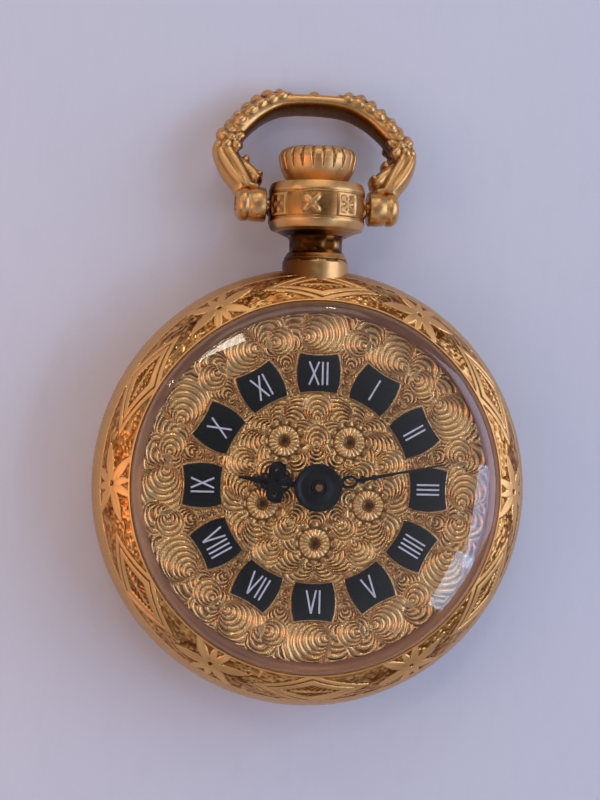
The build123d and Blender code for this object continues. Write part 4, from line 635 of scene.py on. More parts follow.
def dial_relief(x, y):
    """Height of the engraved dial, about 0 to 1."""
    radius = np.hypot(x, y)
    clock = np.degrees(np.arctan2(x, y)) % 360
    rib = 0.5 + 0.5 * np.cos(TAU * (radius + 0.22 * np.cos(np.radians(clock * 12))) / RIDGE)
    height = 0.35 + 0.32 * (rib - 0.5)

    def shell(out, way, toward, size, pull, level, pitch=RIDGE, depth=0.62):
        """Crescents at out from the centre of the dial, over what is there already."""
        nonlocal height
        height = crescents(x, y, polar(out, way), toward, size, pull, height, level, pitch, depth)

    # Between the cartouches: leaning sheaves of little arcs.
    for hour in range(12):
        middle = 75 - HOUR_STEP * hour
        for side in (-1, 1):
            for out in (6.0, 6.7, 7.4):
                shell(out, middle + side * 4.6, middle - 90 * side, 0.78, 0.7, 0.5, 0.27, 0.5)
        shell(8.15, middle, middle + 180, 0.8, 0.66, 0.55, 0.28)

    # Outer ring: a spray at the edge, then a great shell and a whorl over each hour.
    for hour in range(12):
        way = 90 - HOUR_STEP * hour
        side = 1 if hour % 2 else -1
        for step in (-9, 7):
            shell(10.15, way + step, way + 180 + step * 5, 1.15, 0.7, 0.52)
        shell(9.3, way - 8 * side, way + 180 + 40 * side, 1.3, 0.74, 0.62)
        shell(9.4, way + 2 * side, way + 180 + 75 * side, 1.6, 0.74, 0.75)
    for hour in range(12):
        way = 75 - HOUR_STEP * hour
        side = 1 if hour % 2 else -1
        shell(9.85, way + 3 * side, way + 150 * side, 1.05, 0.68, 0.64)
        shell(9.1, way, way + 90 * side, 0.92, 0.5, 0.76, 0.34, 0.66)

    # Middle: leaning shells, acanthus sweeps from the centre, then the rosettes.
    for k in range(15):
        way = 90 - 24 * k
        side = 1 if k % 2 else -1
        shell(4.95, way, way + 180 + 60 * side, 1.15, 0.74, 0.58, 0.32)
    for k in range(5):
        way = 90 - 72 * k
        for side in (-1, 1):
            shell(4.3, way + side * 13, way + side * 120, 1.35, 0.74, 0.64, 0.32)
            shell(3.0, way + side * 16, way + side * 100, 1.25, 0.74, 0.68, 0.32)
        shell(4.85, way, way + 180, 0.95, 0.7, 0.75, 0.31)
        shell(3.1, way, way + 180, 0.8, 0.7, 0.75, 0.30)
    for k in range(10):
        shell(1.9, 90 - 36 * k, 90 - 36 * k, 0.75, 0.66, 0.7, 0.26)
    for k in range(ROSETTES):
        centre = polar(ROSETTE_DISTANCE, 54 - 360 / ROSETTES * k)
        bloom, cover = rosette(x - centre[0], y - centre[1])
        height = eased(height, bloom, cover)

    # A flat ledge and a fine raised rim round each cartouche, and a plain edge.
    for hour in range(12):
        way = math.radians(90 - HOUR_STEP * hour)
        u = x * math.sin(way) - y * math.cos(way)
        v = x * math.cos(way) + y * math.sin(way) - NUMERAL_RADIUS
        inside = np.minimum(bowed_side(v) + 0.05 * v - np.abs(u), hollow_end(u) - np.abs(v))
        close = np.abs(v) < 2
        height = eased(height, 0.4, smooth_step(-0.20, -0.13, inside) * close)
        height = eased(height, 0.95, smooth_step(-0.11, -0.07, inside) * close)
        height = np.where((inside > 0.05) & close, 0.3, height)
    height = np.where(radius > DIAL_RADIUS - 0.12, 0.45, height)
    worn = lattice_noise(x * 3 + 60, y * 3 + 60, 8)
    return height + 0.07 * (worn - 0.5)


def dial_ring(name, inner, outer, steps):
    """An engraved ring of the dial as a closed solid. steps gives the columns by radius."""
    points, faces, relief = [], [], []
    rings = []
    radius = inner
    while radius < outer - 1e-6:
        columns = [count for start, count in steps if radius >= start - 1e-6][-1]
        rings.append((radius, columns))
        radius += TAU * radius / columns if radius > 2 else 0.05
        if outer - radius < 0.02:
            radius = outer
    rings.append((outer, steps[-1][1]))

    def add_ring(radius, columns, bottom=False):
        first = len(points)
        angle = np.arange(columns) * TAU / columns
        x, y = radius * np.cos(angle), radius * np.sin(angle)
        if bottom:
            z, level = np.full(columns, DIAL_LOW_FACE), np.full(columns, 0.4)
        else:
            level = dial_relief(x, y)
            z = DIAL_FACE - 0.11 + DIAL_RELIEF * (level - 0.25)
        points.extend(np.stack([x, y, z], axis=1).tolist())
        relief.extend(level.tolist())
        return np.arange(first, first + columns)

    def join(low, high):
        """Faces between two rings; the outer may have twice the columns of the inner."""
        if len(low) == len(high):
            faces.extend(np.stack([low, high, np.roll(high, -1), np.roll(low, -1)], axis=1).tolist())
            return
        even, odd, after = high[0::2], high[1::2], np.roll(high[0::2], -1)
        nxt = np.roll(low, -1)
        faces.extend(np.stack([low, even, odd], axis=1).tolist())
        faces.extend(np.stack([low, odd, nxt], axis=1).tolist())
        faces.extend(np.stack([nxt, odd, after], axis=1).tolist())

    loops = [add_ring(radius, columns) for radius, columns in rings]
    for low, high in zip(loops, loops[1:]):
        join(low, high)
    inner_bottom = add_ring(inner, rings[0][1], True)
    outer_bottom = add_ring(outer, rings[-1][1], True)
    for top, bottom in ((loops[0], inner_bottom), (loops[-1][::-1], outer_bottom[::-1])):
        faces.extend(np.stack([top, np.roll(top, -1), np.roll(bottom, -1), bottom], axis=1).tolist())
    ratio = len(outer_bottom) // len(inner_bottom)
    for i in range(len(inner_bottom)):
        span = [outer_bottom[(ratio * i + j) % len(outer_bottom)] for j in range(ratio + 1)]
        faces.append([inner_bottom[i], inner_bottom[(i + 1) % len(inner_bottom)]] + span[::-1])
    return mesh_from(name, points, faces, relief)


centre_mesh = dial_ring("dial_centre", DIAL_HOLE, DIAL_SPLIT, ((0, 180), (1.4, 360), (3.0, 720)))
outer_mesh = dial_ring("dial_outer", DIAL_SPLIT, DIAL_RADIUS, ((0, 720), (6.4, 1440)))
inner_dial = add_piece("dial_centre", centre_mesh, "case", "gold_dial", 50)
add_piece("dial_outer", outer_mesh, "case", "gold_dial", 50)
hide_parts("dial")

# ---------------------------------------------------------------- cartouches and numerals


def cartouche_outline():
    """Outline of a cartouche: bowed sides, hollow ends."""
    points = []
    for side in (-1, 1):
        points += [(-side * u, side * hollow_end(u)) for u in np.linspace(-1.12, 1.12, 14)]
        points += [(-side * bowed_side(v), -side * v) for v in np.linspace(-1.07, 1.07, 14)]
    return points


STROKE_WIDTH = 0.105
LETTER_WIDTHS = {"I": 0.29, "V": 0.74, "X": 0.76}
LETTER_HALF, LETTER_GAP, WIDEST_NUMERAL = 0.70, 0.16, 1.66
# The side of its letter where each stroke starts, at the top, and ends, at the bottom.
LETTER_STROKES = {"I": [(0, 0)], "V": [(-1, 0), (1, 0)], "X": [(-1, 1), (1, -1)]}


def stroke(start, end):
    """A straight stroke with square ends, as a rectangle."""
    (ax, ay), (bx, by) = start, end
    share = STROKE_WIDTH / 2 / math.hypot(bx - ax, by - ay)
    nx, ny = -(by - ay) * share, (bx - ax) * share
    return [(ax + nx, ay + ny), (ax - nx, ay - ny), (bx - nx, by - ny), (bx + nx, by + ny)]


def numeral_strokes(text):
    """The strokes of a Roman numeral, centred."""
    width = sum(LETTER_WIDTHS[letter] for letter in text)
    squeeze = min(1.0, WIDEST_NUMERAL / width)
    left = -width * squeeze / 2
    strokes = []
    for letter in text:
        room = LETTER_WIDTHS[letter] * squeeze
        middle, arm = left + room / 2, (room - LETTER_GAP) / 2
        for top, bottom in LETTER_STROKES[letter]:
            strokes.append(((middle + arm * top, LETTER_HALF), (middle + arm * bottom, -LETTER_HALF)))
        left += room
    return strokes


NUMERALS = ["XII", "I", "II", "III", "IIII", "V", "VI", "VII", "VIII", "IX", "X", "XI"]
enamel_parts, numeral_parts = [], []
ENAMEL_LOW, ENAMEL_HIGH = DIAL_FACE - 0.06, DIAL_FACE + 0.07
for hour, text in enumerate(NUMERALS):
    way = 90 - HOUR_STEP * hour
    place = polar(NUMERAL_RADIUS, way)
    outline = turned(cartouche_outline(), way - 90, place)
    enamel_parts.append(flat_shape("cartouche", [outline], ENAMEL_LOW, ENAMEL_HIGH, 0.03))
    upright = way - 90 if hour in (0, 1, 2, 3, 9, 10, 11) else way + 90
    for index, (start, end) in enumerate(numeral_strokes(text)):
        line = turned(stroke(start, end), upright, place)
        top = ENAMEL_HIGH + 0.022 + 0.004 * (index % 2)
        numeral_parts.append(flat_shape("stroke", [line], ENAMEL_HIGH - 0.02, top))
enamel_mesh = joined("enamel_cartouches", enamel_parts)
numeral_mesh = joined("roman_numerals", numeral_parts)
cartouches = add_piece("enamel_cartouches", enamel_mesh, "case", "enamel", 30)
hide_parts("numeral_cartouches")
add_piece("roman_numerals", numeral_mesh, "case", "numeral", 30)

# ---------------------------------------------------------------- hands
HOUR_WAY = 276.5
MINUTE_WAY = 78.7
HOUR_LOW, HOUR_HIGH = box_mm("hour_hand")
MINUTE_LOW, MINUTE_HIGH = box_mm("minute_hand")
BOSS_LOW, BOSS_HIGH = box_mm("minute_hand_boss")
HOUR_LENGTH, MINUTE_LENGTH = 4.8, 8.0
BOSS_RADIUS, _, BOSS_TOP = BOSS_HIGH
BOSS_BORE = 0.47


def tapered(rows):
    """A bar along the hand, from rows of (half width, distance out)."""
    return [(half, out) for half, out in rows] + [(-half, out) for half, out in rows[::-1]]


def hand(name, body, clock, low, high, shapes):
    """A flat hand made of overlapping cut-outs, drawn pointing at twelve and then turned."""
    plates = []
    for index, shape in enumerate(shapes):
        lift = 0.002 * (index % 3)
        outlines = [turned(outline, -clock) for outline in shape]
        plates.append(flat_shape(name, outlines, low + lift, high - lift, 0.02))
    return add_piece(name, joined(name, plates), body, "black_hand", 40)


hour_shapes = [
    [circle(1.02), circle(0.66)],
    [tapered([(0.2, 0.9), (0.18, 2.2), (0.16, 3.3), (0.14, 3.9), (0.07, HOUR_LENGTH)])],
    [oval((0, 3.62), 0.26, 0.17)],
]
for side in (-1, 1):
    hour_shapes.append([oval((side * 0.66, 2.5), 0.60, 0.54), oval((side * 0.74, 2.52), 0.17, 0.14)])
    hour_shapes.append([oval((side * 0.24, 3.2), 0.27, 0.27), oval((side * 0.25, 3.2), 0.08, 0.09)])
    hour_shapes.append([[(side * 0.1, 1.6), (side * 0.45, 1.75), (side * 0.7, 2.12), (side * 0.4, 2.2)]])
    hour_shapes.append([oval((side * 1.02, 2.14), 0.14, 0.14)])
hour_hand = hand("hour_hand_openwork", "hour_hand", HOUR_WAY, HOUR_LOW[2], HOUR_HIGH[2], hour_shapes)
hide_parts("hour_hand")

minute_shapes = [
    [circle(0.95), circle(0.47)],
    [oval((0, 1.92), 0.40, 0.56), oval((0, 1.98), 0.23, 0.36)],
    [oval((0, 2.78), 0.27, 0.14)],
    [oval((0, 3.5), 0.19, 0.16)],
    [tapered([(0.13, 2.4), (0.10, 3.6), (0.075, 5.0), (0.05, MINUTE_LENGTH)])],
    [tapered([(0.16, 0.9), (0.2, 1.5)])],
]
minute_hand = hand("minute_hand_openwork", "minute_hand", MINUTE_WAY, MINUTE_LOW[2], MINUTE_HIGH[2],
                   minute_shapes)
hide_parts("minute_hand")

boss_section = [
    (BOSS_BORE, BOSS_LOW[2]), (BOSS_RADIUS - 0.04, BOSS_LOW[2]), (BOSS_RADIUS, BOSS_LOW[2] + 0.04),
    (BOSS_RADIUS, BOSS_TOP - 0.06), (BOSS_RADIUS - 0.03, BOSS_TOP - 0.015), (BOSS_RADIUS - 0.10, BOSS_TOP),
    (BOSS_RADIUS - 0.22, BOSS_TOP - 0.02), (BOSS_RADIUS - 0.34, BOSS_TOP - 0.10), (0.95, BOSS_TOP - 0.12),
    (0.80, BOSS_TOP - 0.05), (0.62, BOSS_TOP - 0.03), (0.50, BOSS_TOP - 0.01), (BOSS_BORE, BOSS_TOP - 0.03),
]
boss_mesh = lathe("hand_boss", boss_section, 144)
boss = add_piece("hand_boss", boss_mesh, "minute_hand", "black_hand", 35)
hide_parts("minute_hand_boss")

# ---------------------------------------------------------------- pendant and crown
NECK_START, FOOT_END, COLLAR_START, COLLAR_END = 12.2, 14.05, 15.9, 18.74
TUBE_BORE, FOOT_RADIUS, COLLAR_EDGE, COLLAR_BELLY = 0.75, 2.05, 2.85, 3.15
NECK_TOP, COLLAR_MIDDLE = (1.8, 15.45), (COLLAR_START + COLLAR_END) / 2
SKIN_SPACING = 0.06
pendant_section = resample(
    [(FOOT_RADIUS, NECK_START), (FOOT_RADIUS, FOOT_END)]
    + arc_through((FOOT_RADIUS, FOOT_END), (1.7, 14.75), NECK_TOP, 8)[1:]
    + arc_through(NECK_TOP, (2.35, 15.72), (COLLAR_EDGE, COLLAR_START), 8)[1:]
    + arc_through((COLLAR_EDGE, COLLAR_START), (COLLAR_BELLY, 17.3), (COLLAR_EDGE, COLLAR_END), 16)[1:]
    + [(2.5, COLLAR_END), (TUBE_BORE, COLLAR_END), (TUBE_BORE, NECK_START)],
    SKIN_SPACING,
)


PLAIN = 0.92
PENDANT_INSIDE = 1.2


def pendant_relief(skin):
    """Collar with a band of framed flowers, and a neck with rings and florets."""
    angle, radius, place = skin.angle, skin.radius, skin.height
    to_right = np.sin(angle)
    # Collar band, between two smooth rims: framed saltires and open crosses by turns.
    on_collar = radius > COLLAR_EDGE - 0.05
    across = place - COLLAR_MIDDLE
    bay = math.pi / 4
    turned_on = angle - 0.52 + bay / 2
    around = (np.mod(turned_on, bay) - bay / 2) * 3.1
    framed = np.mod(np.floor(turned_on / bay), 2) < 0.5
    spin, away = np.arctan2(across, around), np.hypot(across, around)
    frame_in = np.maximum(np.abs(across), np.abs(around))
    saltire = np.clip(1 - np.abs(away - 0.34) / 0.34, 0, 1) * (0.5 + 0.5 * np.cos(4 * spin)) ** 1.5
    square = np.where((frame_in > 0.56) & (frame_in < 0.72), 0.95, 0.25 + 0.65 * saltire)
    square = np.where(frame_in >= 0.72, 0.2, square)
    arms = smooth_step(0.95, 0.55, away / (0.92 - 0.62 * np.cos(2 * spin) ** 2))
    cross = 0.18 + 0.8 * arms * (0.65 + 0.35 * np.abs(np.cos(4 * spin)))
    in_band = smooth_step(0.80, 0.74, np.abs(across)) * on_collar
    height = eased(PLAIN, np.where(framed, square, cross), in_band)
    height = height - 0.5 * np.exp(-((np.abs(across) - 0.84) / 0.06) ** 2) * on_collar
    # Neck: rings and a band of florets.
    on_neck = (place > 13.9) & (place < 15.5) & (radius > PENDANT_INSIDE) & (radius < 2.3)
    floret = 0.5 + 0.5 * np.cos(angle * 8) * np.cos((place - 14.95) * 6)
    neck = np.where(np.abs(place - 14.3) < 0.16, 0.9, 0.15 + 0.6 * floret**1.5)
    neck = np.where(np.abs(place - 14.07) < 0.05, 0.1, neck)
    height = np.where(on_neck, neck, height)
    outside = (radius > PENDANT_INSIDE) & (place < COLLAR_END - 0.05)
    move = np.where(outside, (height - PLAIN) * 0.13, 0)
    # Colour of the relief: the neck is kept nearly black; the left sides of the neck and foot, and the
    # collar's left end, are darker still as painted shade.
    painted_side_light = smooth_step(-0.1, 0.35, to_right) * 0.9 + 0.1
    painted_side_light = painted_side_light * (0.25 + 0.75 * smooth_step(-0.75, 0.15, to_right))
    on_florets = (place < 15.75) & (place > 14.35)
    shine = np.where(on_florets, 0.6 * painted_side_light * smooth_step(0.3, 0.7, height), height)
    shine = np.where(on_collar & (np.abs(across) < 0.76), 0.34 + 0.5 * height, shine)
    # Painted shade on the foot's left side.
    foot = (0.10 + 0.75 * smooth_step(-0.55, 0.0, to_right)) * height
    shine = np.where(outside & (place < 14.35), foot, shine)
    # Painted shade on the collar's left end.
    shine = np.where(radius > 2.6, shine * smooth_step(-1.02, -0.84, to_right), shine)
    return move, np.clip(shine, 0, 1)


pendant_mesh = lathe("engraved_pendant", pendant_section, 320, pendant_relief, True)
pendant = add_piece("engraved_pendant", pendant_mesh, "case", "gold_relief", 60)
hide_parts("pendant")

CROWN_START, CROWN_END, CROWN_RADIUS, FLUTES = 18.8, 21.1, 2.4, 22
CROWN_FOOT, CROWN_WIDEST, CROWN_SHOULDER = (1.8, CROWN_START), (CROWN_RADIUS, 20.15), (1.95, CROWN_END - 0.1)
crown_section = resample(
    [(0.0, CROWN_START), (1.2, CROWN_START), CROWN_FOOT]
    + arc_through(CROWN_FOOT, (2.2, 19.45), CROWN_WIDEST, 10)[1:]
    + arc_through(CROWN_WIDEST, (2.32, 20.75), CROWN_SHOULDER, 10)[1:]
    + [(1.7, CROWN_END - 0.08), (1.55, CROWN_END - 0.16), (1.3, CROWN_END - 0.10), (0.7, CROWN_END),
       (0.0, CROWN_END)],
    SKIN_SPACING,
)


def crown_relief(skin):
    """Flutes cut round the upper part, each ending in a drop on the smooth goblet below."""
    share = np.mod(skin.angle * FLUTES / TAU + 0.5, 1) - 0.5
    width = 0.17 * smooth_step(19.45, 20.3, skin.height) + 0.015
    groove = np.clip(1 - (share / width) ** 2, 0, 1) ** 0.8
    groove = groove * smooth_step(19.5, 19.75, skin.height) * (skin.radius > 1.6)
    return -0.075 * groove, 0.95 - 0.62 * groove


crown_mesh = lathe("fluted_crown", crown_section, 24 * FLUTES, crown_relief, True)
crown = add_piece("fluted_crown", crown_mesh, "crown", "gold_relief", 60)
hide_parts("crown")

# ---------------------------------------------------------------- bow
BOW_PIVOT = Vector((0, 17.4, STEM_HEIGHT))
BOW_DROOP = math.radians(18.5)
LUG_INNER, LUG_OUTER, LUG_RADIUS, LUG_BORE = 3.25, 5.1, 1.08, 0.46
LUG_COLUMNS = 96
BOW_TURN = Matrix.Rotation(-BOW_DROOP, 4, "X")


def curve_points(points, steps=10):
    """A smooth curve through rows of numbers (Catmull-Rom)."""
    points = [np.array(p, dtype=float) for p in points]
    points = [2 * points[0] - points[1]] + points + [2 * points[-1] - points[-2]]
    result = []
    for a, b, c, d in zip(points, points[1:], points[2:], points[3:]):
        for i in range(steps):
            t = i / steps
            result.append(0.5 * (2 * b + (c - a) * t + (2 * a - 5 * b + 4 * c - d) * t**2
                                 + (3 * b - a - 3 * c + d) * t**3))
    result.append(points[-2])
    return np.array(result)


def ribbon(rows, depth_at=0.0, sides=20, power=2.4):
    """A bar swept through rows of (x, y, half width, half depth) in the bow's plane."""
    rows = curve_points(rows)
    ahead = np.gradient(rows[:, :2], axis=0)
    ahead /= np.hypot(ahead[:, 0], ahead[:, 1])[:, None]
    normal = np.stack([-ahead[:, 1], ahead[:, 0]], axis=1)
    angle = np.arange(sides) * TAU / sides
    round_x = np.sign(np.cos(angle)) * np.abs(np.cos(angle)) ** (2 / power)
    round_y = np.sign(np.sin(angle)) * np.abs(np.sin(angle)) ** (2 / power)
    points = []
    for (x, y, width, depth), (nx, ny) in zip(rows, normal):
        for cx, cy in zip(round_x, round_y):
            points.append((x + nx * width * cx, y + ny * width * cx, depth_at + depth * cy))
    walls = (len(rows) - 1) * sides
    faces = tube_faces(len(rows), sides)[:walls]
    faces += [tuple(range(sides))[::-1], tuple(range(walls, walls + sides))]
    mesh = bpy.data.meshes.new("ribbon")
    mesh.from_pydata(points, [], faces)
    return mesh


def knob(centre, radii, turn=0.0):
    """A rounded lump of the casting, an ellipsoid turned in the bow's plane."""
    work = bmesh.new()
    bmesh.ops.create_icosphere(work, subdivisions=3, radius=1.0)
    shape = Matrix.Translation(centre) @ Matrix.Rotation(turn, 4, "Z") @ Matrix.Diagonal((*radii, 1))
    work.transform(shape)
    mesh = bpy.data.meshes.new("knob")
    work.to_mesh(mesh)
    work.free()
    return mesh


def mirrored(mesh):
    """The same lump on the bow's other side."""
    copy = mesh.copy()
    copy.transform(Matrix.Diagonal((-1, 1, 1, 1)))
    copy.flip_normals()
    return copy


CAST_VOXEL, CAST_SMOOTHING = 0.075, 4
HOLLOW_ROUNDS, HOLLOW_GAIN = 14, 7.0


def cast(name, meshes):
    """Fuses overlapping lumps into one skin, as a casting is, and smooths it. Works in mm."""
    mesh = joined(name, meshes)
    holder = bpy.data.objects.new(name, mesh)
    bpy.context.scene.collection.objects.link(holder)
    remesh = holder.modifiers.new("fuse", "REMESH")
    remesh.mode = "VOXEL"
    remesh.voxel_size = CAST_VOXEL
    soften = holder.modifiers.new("soften", "SMOOTH")
    soften.factor = 0.5
    soften.iterations = CAST_SMOOTHING
    bpy.context.view_layer.update()
    fused = bpy.data.meshes.new_from_object(holder.evaluated_get(bpy.context.evaluated_depsgraph_get()))
    bpy.data.objects.remove(holder)
    bpy.data.meshes.remove(mesh)
    fused.name = name
    return fused


def points_of(mesh, what="co"):
    """The place of each point, or its normal."""
    flat = np.empty(len(mesh.vertices) * 3)
    mesh.vertices.foreach_get(what, flat)
    return flat.reshape(-1, 3)


def hollows(mesh):
    """How far each point stands out of its surroundings, from 0 to 1, and its normal."""
    edges = np.empty(len(mesh.edges) * 2, dtype=np.int64)
    mesh.edges.foreach_get("vertices", edges)
    edges = edges.reshape(-1, 2)
    start = points_of(mesh)
    now = start.copy()
    count = np.bincount(edges.ravel(), minlength=len(start))[:, None]
    for _ in range(HOLLOW_ROUNDS):
        total = np.zeros_like(now)
        np.add.at(total, edges[:, 0], now[edges[:, 1]])
        np.add.at(total, edges[:, 1], now[edges[:, 0]])
        now = total / count
    normals = points_of(mesh, "normal")
    stand = ((start - now) * normals).sum(axis=1)
    return np.clip(0.62 + HOLLOW_GAIN * stand, 0, 1), normals


side_parts = [
    ribbon([(0.0, 7.08, 0.47, 1.04), (1.2, 7.04, 0.50, 1.04), (2.4, 6.86, 0.58, 1.02),
            (3.6, 6.28, 0.68, 0.98), (4.6, 5.46, 0.76, 0.94), (5.15, 4.7, 0.72, 0.90),
            (5.5, 4.1, 0.70, 0.86)], power=2.6),
    ribbon([(5.3, 4.6, 0.6, 0.85), (5.72, 3.7, 0.76, 0.88), (5.5, 2.9, 0.84, 0.9), (5.15, 2.1, 0.82, 0.92),
            (4.72, 1.45, 0.76, 0.95), (4.45, 0.85, 0.74, 0.9)], power=2.0),
    # Hooked scroll on the inner side of the arm.
    ribbon([(4.95, 2.85, 0.34, 0.74), (4.55, 2.40, 0.40, 0.82), (4.15, 2.00, 0.44, 0.88),
            (3.90, 1.66, 0.44, 0.88)], power=2.4),
    ribbon([(3.7, 0.95, 0.24, 0.8), (4.4, 1.05, 0.26, 0.88), (5.0, 0.98, 0.2, 0.78)], sides=14),
]
# Lumps of the scroll, of the widest point and beside the top.
for place, radii, turn in (
    ((3.86, 1.62, 0.0), (0.48, 0.42, 0.94), 0.0), ((3.58, 1.92, 0.0), (0.24, 0.22, 0.84), 0.0),
    ((4.40, 2.95, 0.0), (0.26, 0.30, 0.72), 0.0), ((6.14, 3.80, 0.0), (0.34, 0.52, 0.80), 0.3),
    ((5.90, 4.72, 0.0), (0.34, 0.38, 0.76), 0.6), ((5.45, 5.35, 0.0), (0.28, 0.34, 0.74), 0.7),
    ((0.62, 7.40, 0.0), (0.36, 0.22, 0.78), 0.0),
):
    side_parts.append(knob(place, radii, turn))
# Leafy cluster on the upper corner: rounded lumps that grow out of the hoop.
for x, y, long_radius, short_radius, way in (
    (1.62, 7.40, 0.30, 0.30, 80), (2.22, 7.52, 0.44, 0.42, 70), (2.92, 7.36, 0.56, 0.46, 40),
    (3.62, 6.98, 0.52, 0.42, 52), (4.24, 6.48, 0.46, 0.38, 30), (4.88, 5.88, 0.40, 0.32, 50),
):
    side_parts.append(knob((x, y, 0.0), (long_radius, short_radius, 0.96), math.radians(way)))
for x, y, size in (
    (2.1, 7.20, 0.30), (2.75, 6.95, 0.36), (3.45, 6.62, 0.32), (4.05, 6.15, 0.30), (4.75, 5.40, 0.32)
):
    for face in (-1, 1):
        side_parts.append(knob((x, y, face * 0.86), (size * 1.35, size, 0.30), math.radians(-40)))
# Flower of knobs at the widest point, on both faces, and leaf ribs down the arm.
FLOWER_X, FLOWER_Y = 5.35, 4.15
for face in (-1, 1):
    side_parts.append(knob((FLOWER_X, FLOWER_Y, face * 0.78), (0.30, 0.30, 0.40)))
    for way in range(20, 380, 72):
        x, y = polar(0.52, way)
        spot = (FLOWER_X + x, FLOWER_Y + y, face * 0.66)
        side_parts.append(knob(spot, (0.42, 0.32, 0.36), math.radians(way)))
    for offset in (-0.36, 0.30):
        side_parts.append(ribbon(
            [(5.85 + offset * 0.9, 3.45, 0.16, 0.12), (5.62 + offset, 2.85, 0.24, 0.19),
             (5.22 + offset, 2.1, 0.26, 0.19), (4.80 + offset * 0.8, 1.4, 0.22, 0.18),
             (4.5 + offset * 0.7, 0.95, 0.14, 0.12)], depth_at=face * 0.80, sides=12))
bow_parts = side_parts + [mirrored(part) for part in side_parts]
bow_parts.append(knob((0.0, 7.52, 0.0), (0.42, 0.34, 0.92)))
bow_mesh = cast("cast_bow", bow_parts)
# The relief value darkens the bow's hollows through its material: partly tarnish, partly painted shade.
shade, bow_normals = hollows(bow_mesh)
# Painted shade: the hoop's inner side, that faces the crown, is made dull and brown on its upper part.
BOW_MIDDLE = 3.0
from_middle = points_of(bow_mesh)[:, :2] - (0, BOW_MIDDLE)
away = np.maximum(np.hypot(*from_middle.T), 1e-6)
inward = np.clip(-(bow_normals[:, :2] * from_middle).sum(axis=1) / away, 0, 1)
upper = smooth_step(2.2, 4.5, from_middle[:, 1] + BOW_MIDDLE)
shade = shade * (1 - 0.75 * smooth_step(0.5, 0.9, inward) * upper)
keep_relief(bow_mesh, shade)
to_place = Matrix.Scale(MM, 4) @ Matrix.Translation(BOW_PIVOT) @ BOW_TURN
bow_mesh.transform(to_place)


def lug_barrel(side):
    """The short grooved barrel at the foot of the bow, bored for its screw."""
    grooves = [(0.0, 0.05), (0.05, 0.0), (0.95, 0.04), (1.02, 0.10), (1.12, 0.10), (1.2, 0.03), (1.45, 0.03),
               (1.62, 0.10), (1.78, 0.24), (1.85, 0.40)]
    section = [(LUG_BORE, LUG_INNER)]
    section += [(LUG_RADIUS - cut, LUG_INNER + place) for place, cut in grooves]
    section += [(LUG_BORE, LUG_OUTER)]
    points = []
    for radius, along in section:
        points += [(side * along, y, z) for y, z in oval((0, 0), radius, radius, LUG_COLUMNS)]
    mesh = bpy.data.meshes.new("lug")
    mesh.from_pydata(points, [], tube_faces(len(section), LUG_COLUMNS))
    keep_relief(mesh, np.full(len(points), 0.75))
    mesh.transform(to_place)
    return tidy_mesh(mesh)


whole_bow = joined("cast_bow", [bow_mesh, lug_barrel(-1), lug_barrel(1)])
bow = add_piece("cast_bow", whole_bow, "bow", "gold_relief", 50)
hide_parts("bow")

# ---------------------------------------------------------------- stage, lamps and camera
FLOOR_REACH = 2
FLOOR_GAP = 0.02
floor_mesh = bpy.data.meshes.new("floor")
corners = [(-FLOOR_REACH, -FLOOR_REACH, 0), (FLOOR_REACH, -FLOOR_REACH, 0), (FLOOR_REACH, FLOOR_REACH, 0),
           (-FLOOR_REACH, FLOOR_REACH, 0)]
floor_mesh.from_pydata(corners, [], [(0, 1, 2, 3)])
floor = bpy.data.objects.new("floor", floor_mesh)
floor.location.z = -FLOOR_GAP * MM
bpy.context.scene.collection.objects.link(floor)
floor_mesh.materials.append(MATERIALS["paper"])


def area_lamp(name, spot, size, watts, colour, aim=(0, 0, 4)):
    """An area lamp at a place in millimetres, turned to face a point."""
    lamp = bpy.data.lights.new(name, "AREA")
    lamp.shape = "RECTANGLE"
    lamp.size, lamp.size_y = size[0] * MM, size[1] * MM
    lamp.energy = watts
    lamp.color = colour
    holder = bpy.data.objects.new(name, lamp)
    bpy.context.scene.collection.objects.link(holder)
    holder.location = Vector(spot) * MM
    toward = Vector(aim) * MM - holder.location
    holder.rotation_euler = toward.to_track_quat("-Z", "Y").to_euler()


area_lamp("window strip", (229, -34, 270), (112, 20), 0.055, (0.42, 0.60, 1.0))
area_lamp("window pane", (202, -104, 270), (66, 32), 0.056, (0.50, 0.72, 1.0))
area_lamp("window", (300, 60, 170), (300, 260), 0.52, (0.58, 0.70, 1.0))
area_lamp("upper left spark", (-62, 152, 316), (60, 14), 0.034, (1.0, 0.96, 0.9))
area_lamp("top", (-10, 300, 200), (300, 160), 0.13, (1.0, 0.86, 0.66))
area_lamp("left glint", (-190, 150, 110), (14, 14), 0.022, (1.0, 0.84, 0.56))
area_lamp("top glint", (60, 270, 120), (16, 16), 0.020, (1.0, 0.88, 0.64))
area_lamp("warm lamp", (-290, -10, 130), (300, 260), 0.12, (1.0, 0.66, 0.38))
area_lamp("warm floor glow", (-66, -5, 58), (26, 60), 0.0075, (1.0, 0.40, 0.14), (-44, -5, 0))
area_lamp("front", (-30, -300, 190), (260, 130), 0.028, (0.86, 0.88, 1.0))

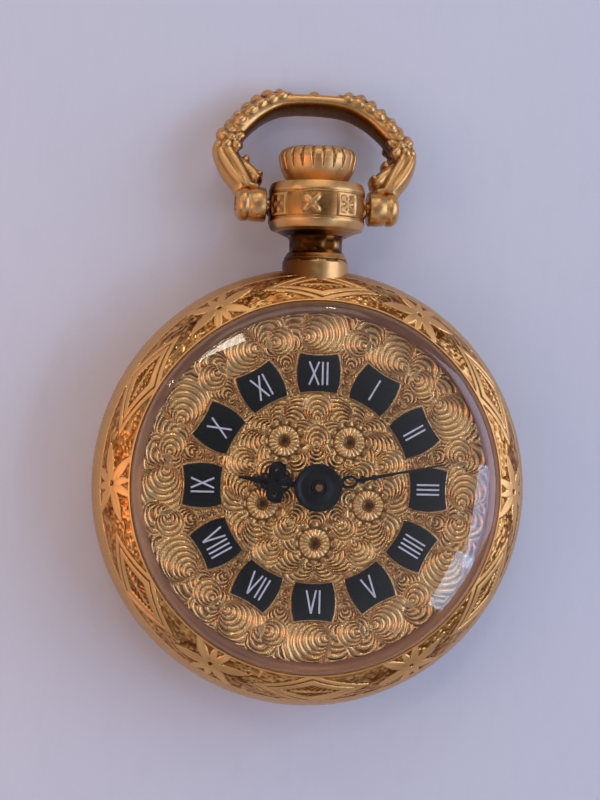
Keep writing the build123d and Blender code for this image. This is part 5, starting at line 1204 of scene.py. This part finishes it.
ROOM_STRENGTH = 0.72
world = bpy.data.worlds.new("room")
bpy.context.scene.world = world
world.use_nodes = True
room = world.node_tree
room.nodes.clear()
room_place = room.nodes.new("ShaderNodeTexCoord")
room_split = room.nodes.new("ShaderNodeSeparateXYZ")
room_ramp = room.nodes.new("ShaderNodeValToRGB")
room_light = room.nodes.new("ShaderNodeBackground")
room_out = room.nodes.new("ShaderNodeOutputWorld")
room.links.new(room_place.outputs["Generated"], room_split.inputs[0])
room.links.new(room_split.outputs["Z"], room_ramp.inputs[0])
room.links.new(room_ramp.outputs[0], room_light.inputs[0])
room.links.new(room_light.outputs[0], room_out.inputs[0])
# From underfoot, at 0, to overhead, at 1: brightest a little above the horizon.
room_stops = room_ramp.color_ramp.elements
room_stops[0].color = (0.17, 0.13, 0.11, 1)
room_stops[1].color = (0.14, 0.14, 0.17, 1)
for place, colour in ((0.35, (0.36, 0.35, 0.42)), (0.68, (0.62, 0.63, 0.76)), (0.88, (0.50, 0.50, 0.60))):
    room_stops.new(place).color = (*colour, 1)
room_light.inputs[1].default_value = ROOM_STRENGTH
bpy.context.scene.view_settings.view_transform = "Standard"

VIEW_HEIGHT = 125.0
VIEW_SPAN = 48.9
LOOK_AT = Vector((-0.80, 5.35, 4.0))
SHIFT_LEFT, SHIFT_DOWN = 19.0, 3.0
VIEW_ROLL = 1.4
camera_data = bpy.data.cameras.new("camera")
camera = bpy.data.objects.new("camera", camera_data)
bpy.context.scene.collection.objects.link(camera)
camera.location = (LOOK_AT + Vector((-SHIFT_LEFT, -SHIFT_DOWN, VIEW_HEIGHT - LOOK_AT.z))) * MM
back = (camera.location - LOOK_AT * MM).normalized()
right = Vector((0, 1, 0)).cross(back).normalized()
facing = Matrix((right, back.cross(right), back)).transposed().to_4x4()
camera.rotation_euler = (facing @ Matrix.Rotation(math.radians(VIEW_ROLL), 4, "Z")).to_euler()
camera_data.sensor_fit = "VERTICAL"
camera_data.angle = 2 * math.atan(VIEW_SPAN / 2 / (VIEW_HEIGHT - LOOK_AT.z))
camera_data.clip_start = 0.001
camera_data.clip_end = 20
bpy.context.scene.camera = camera
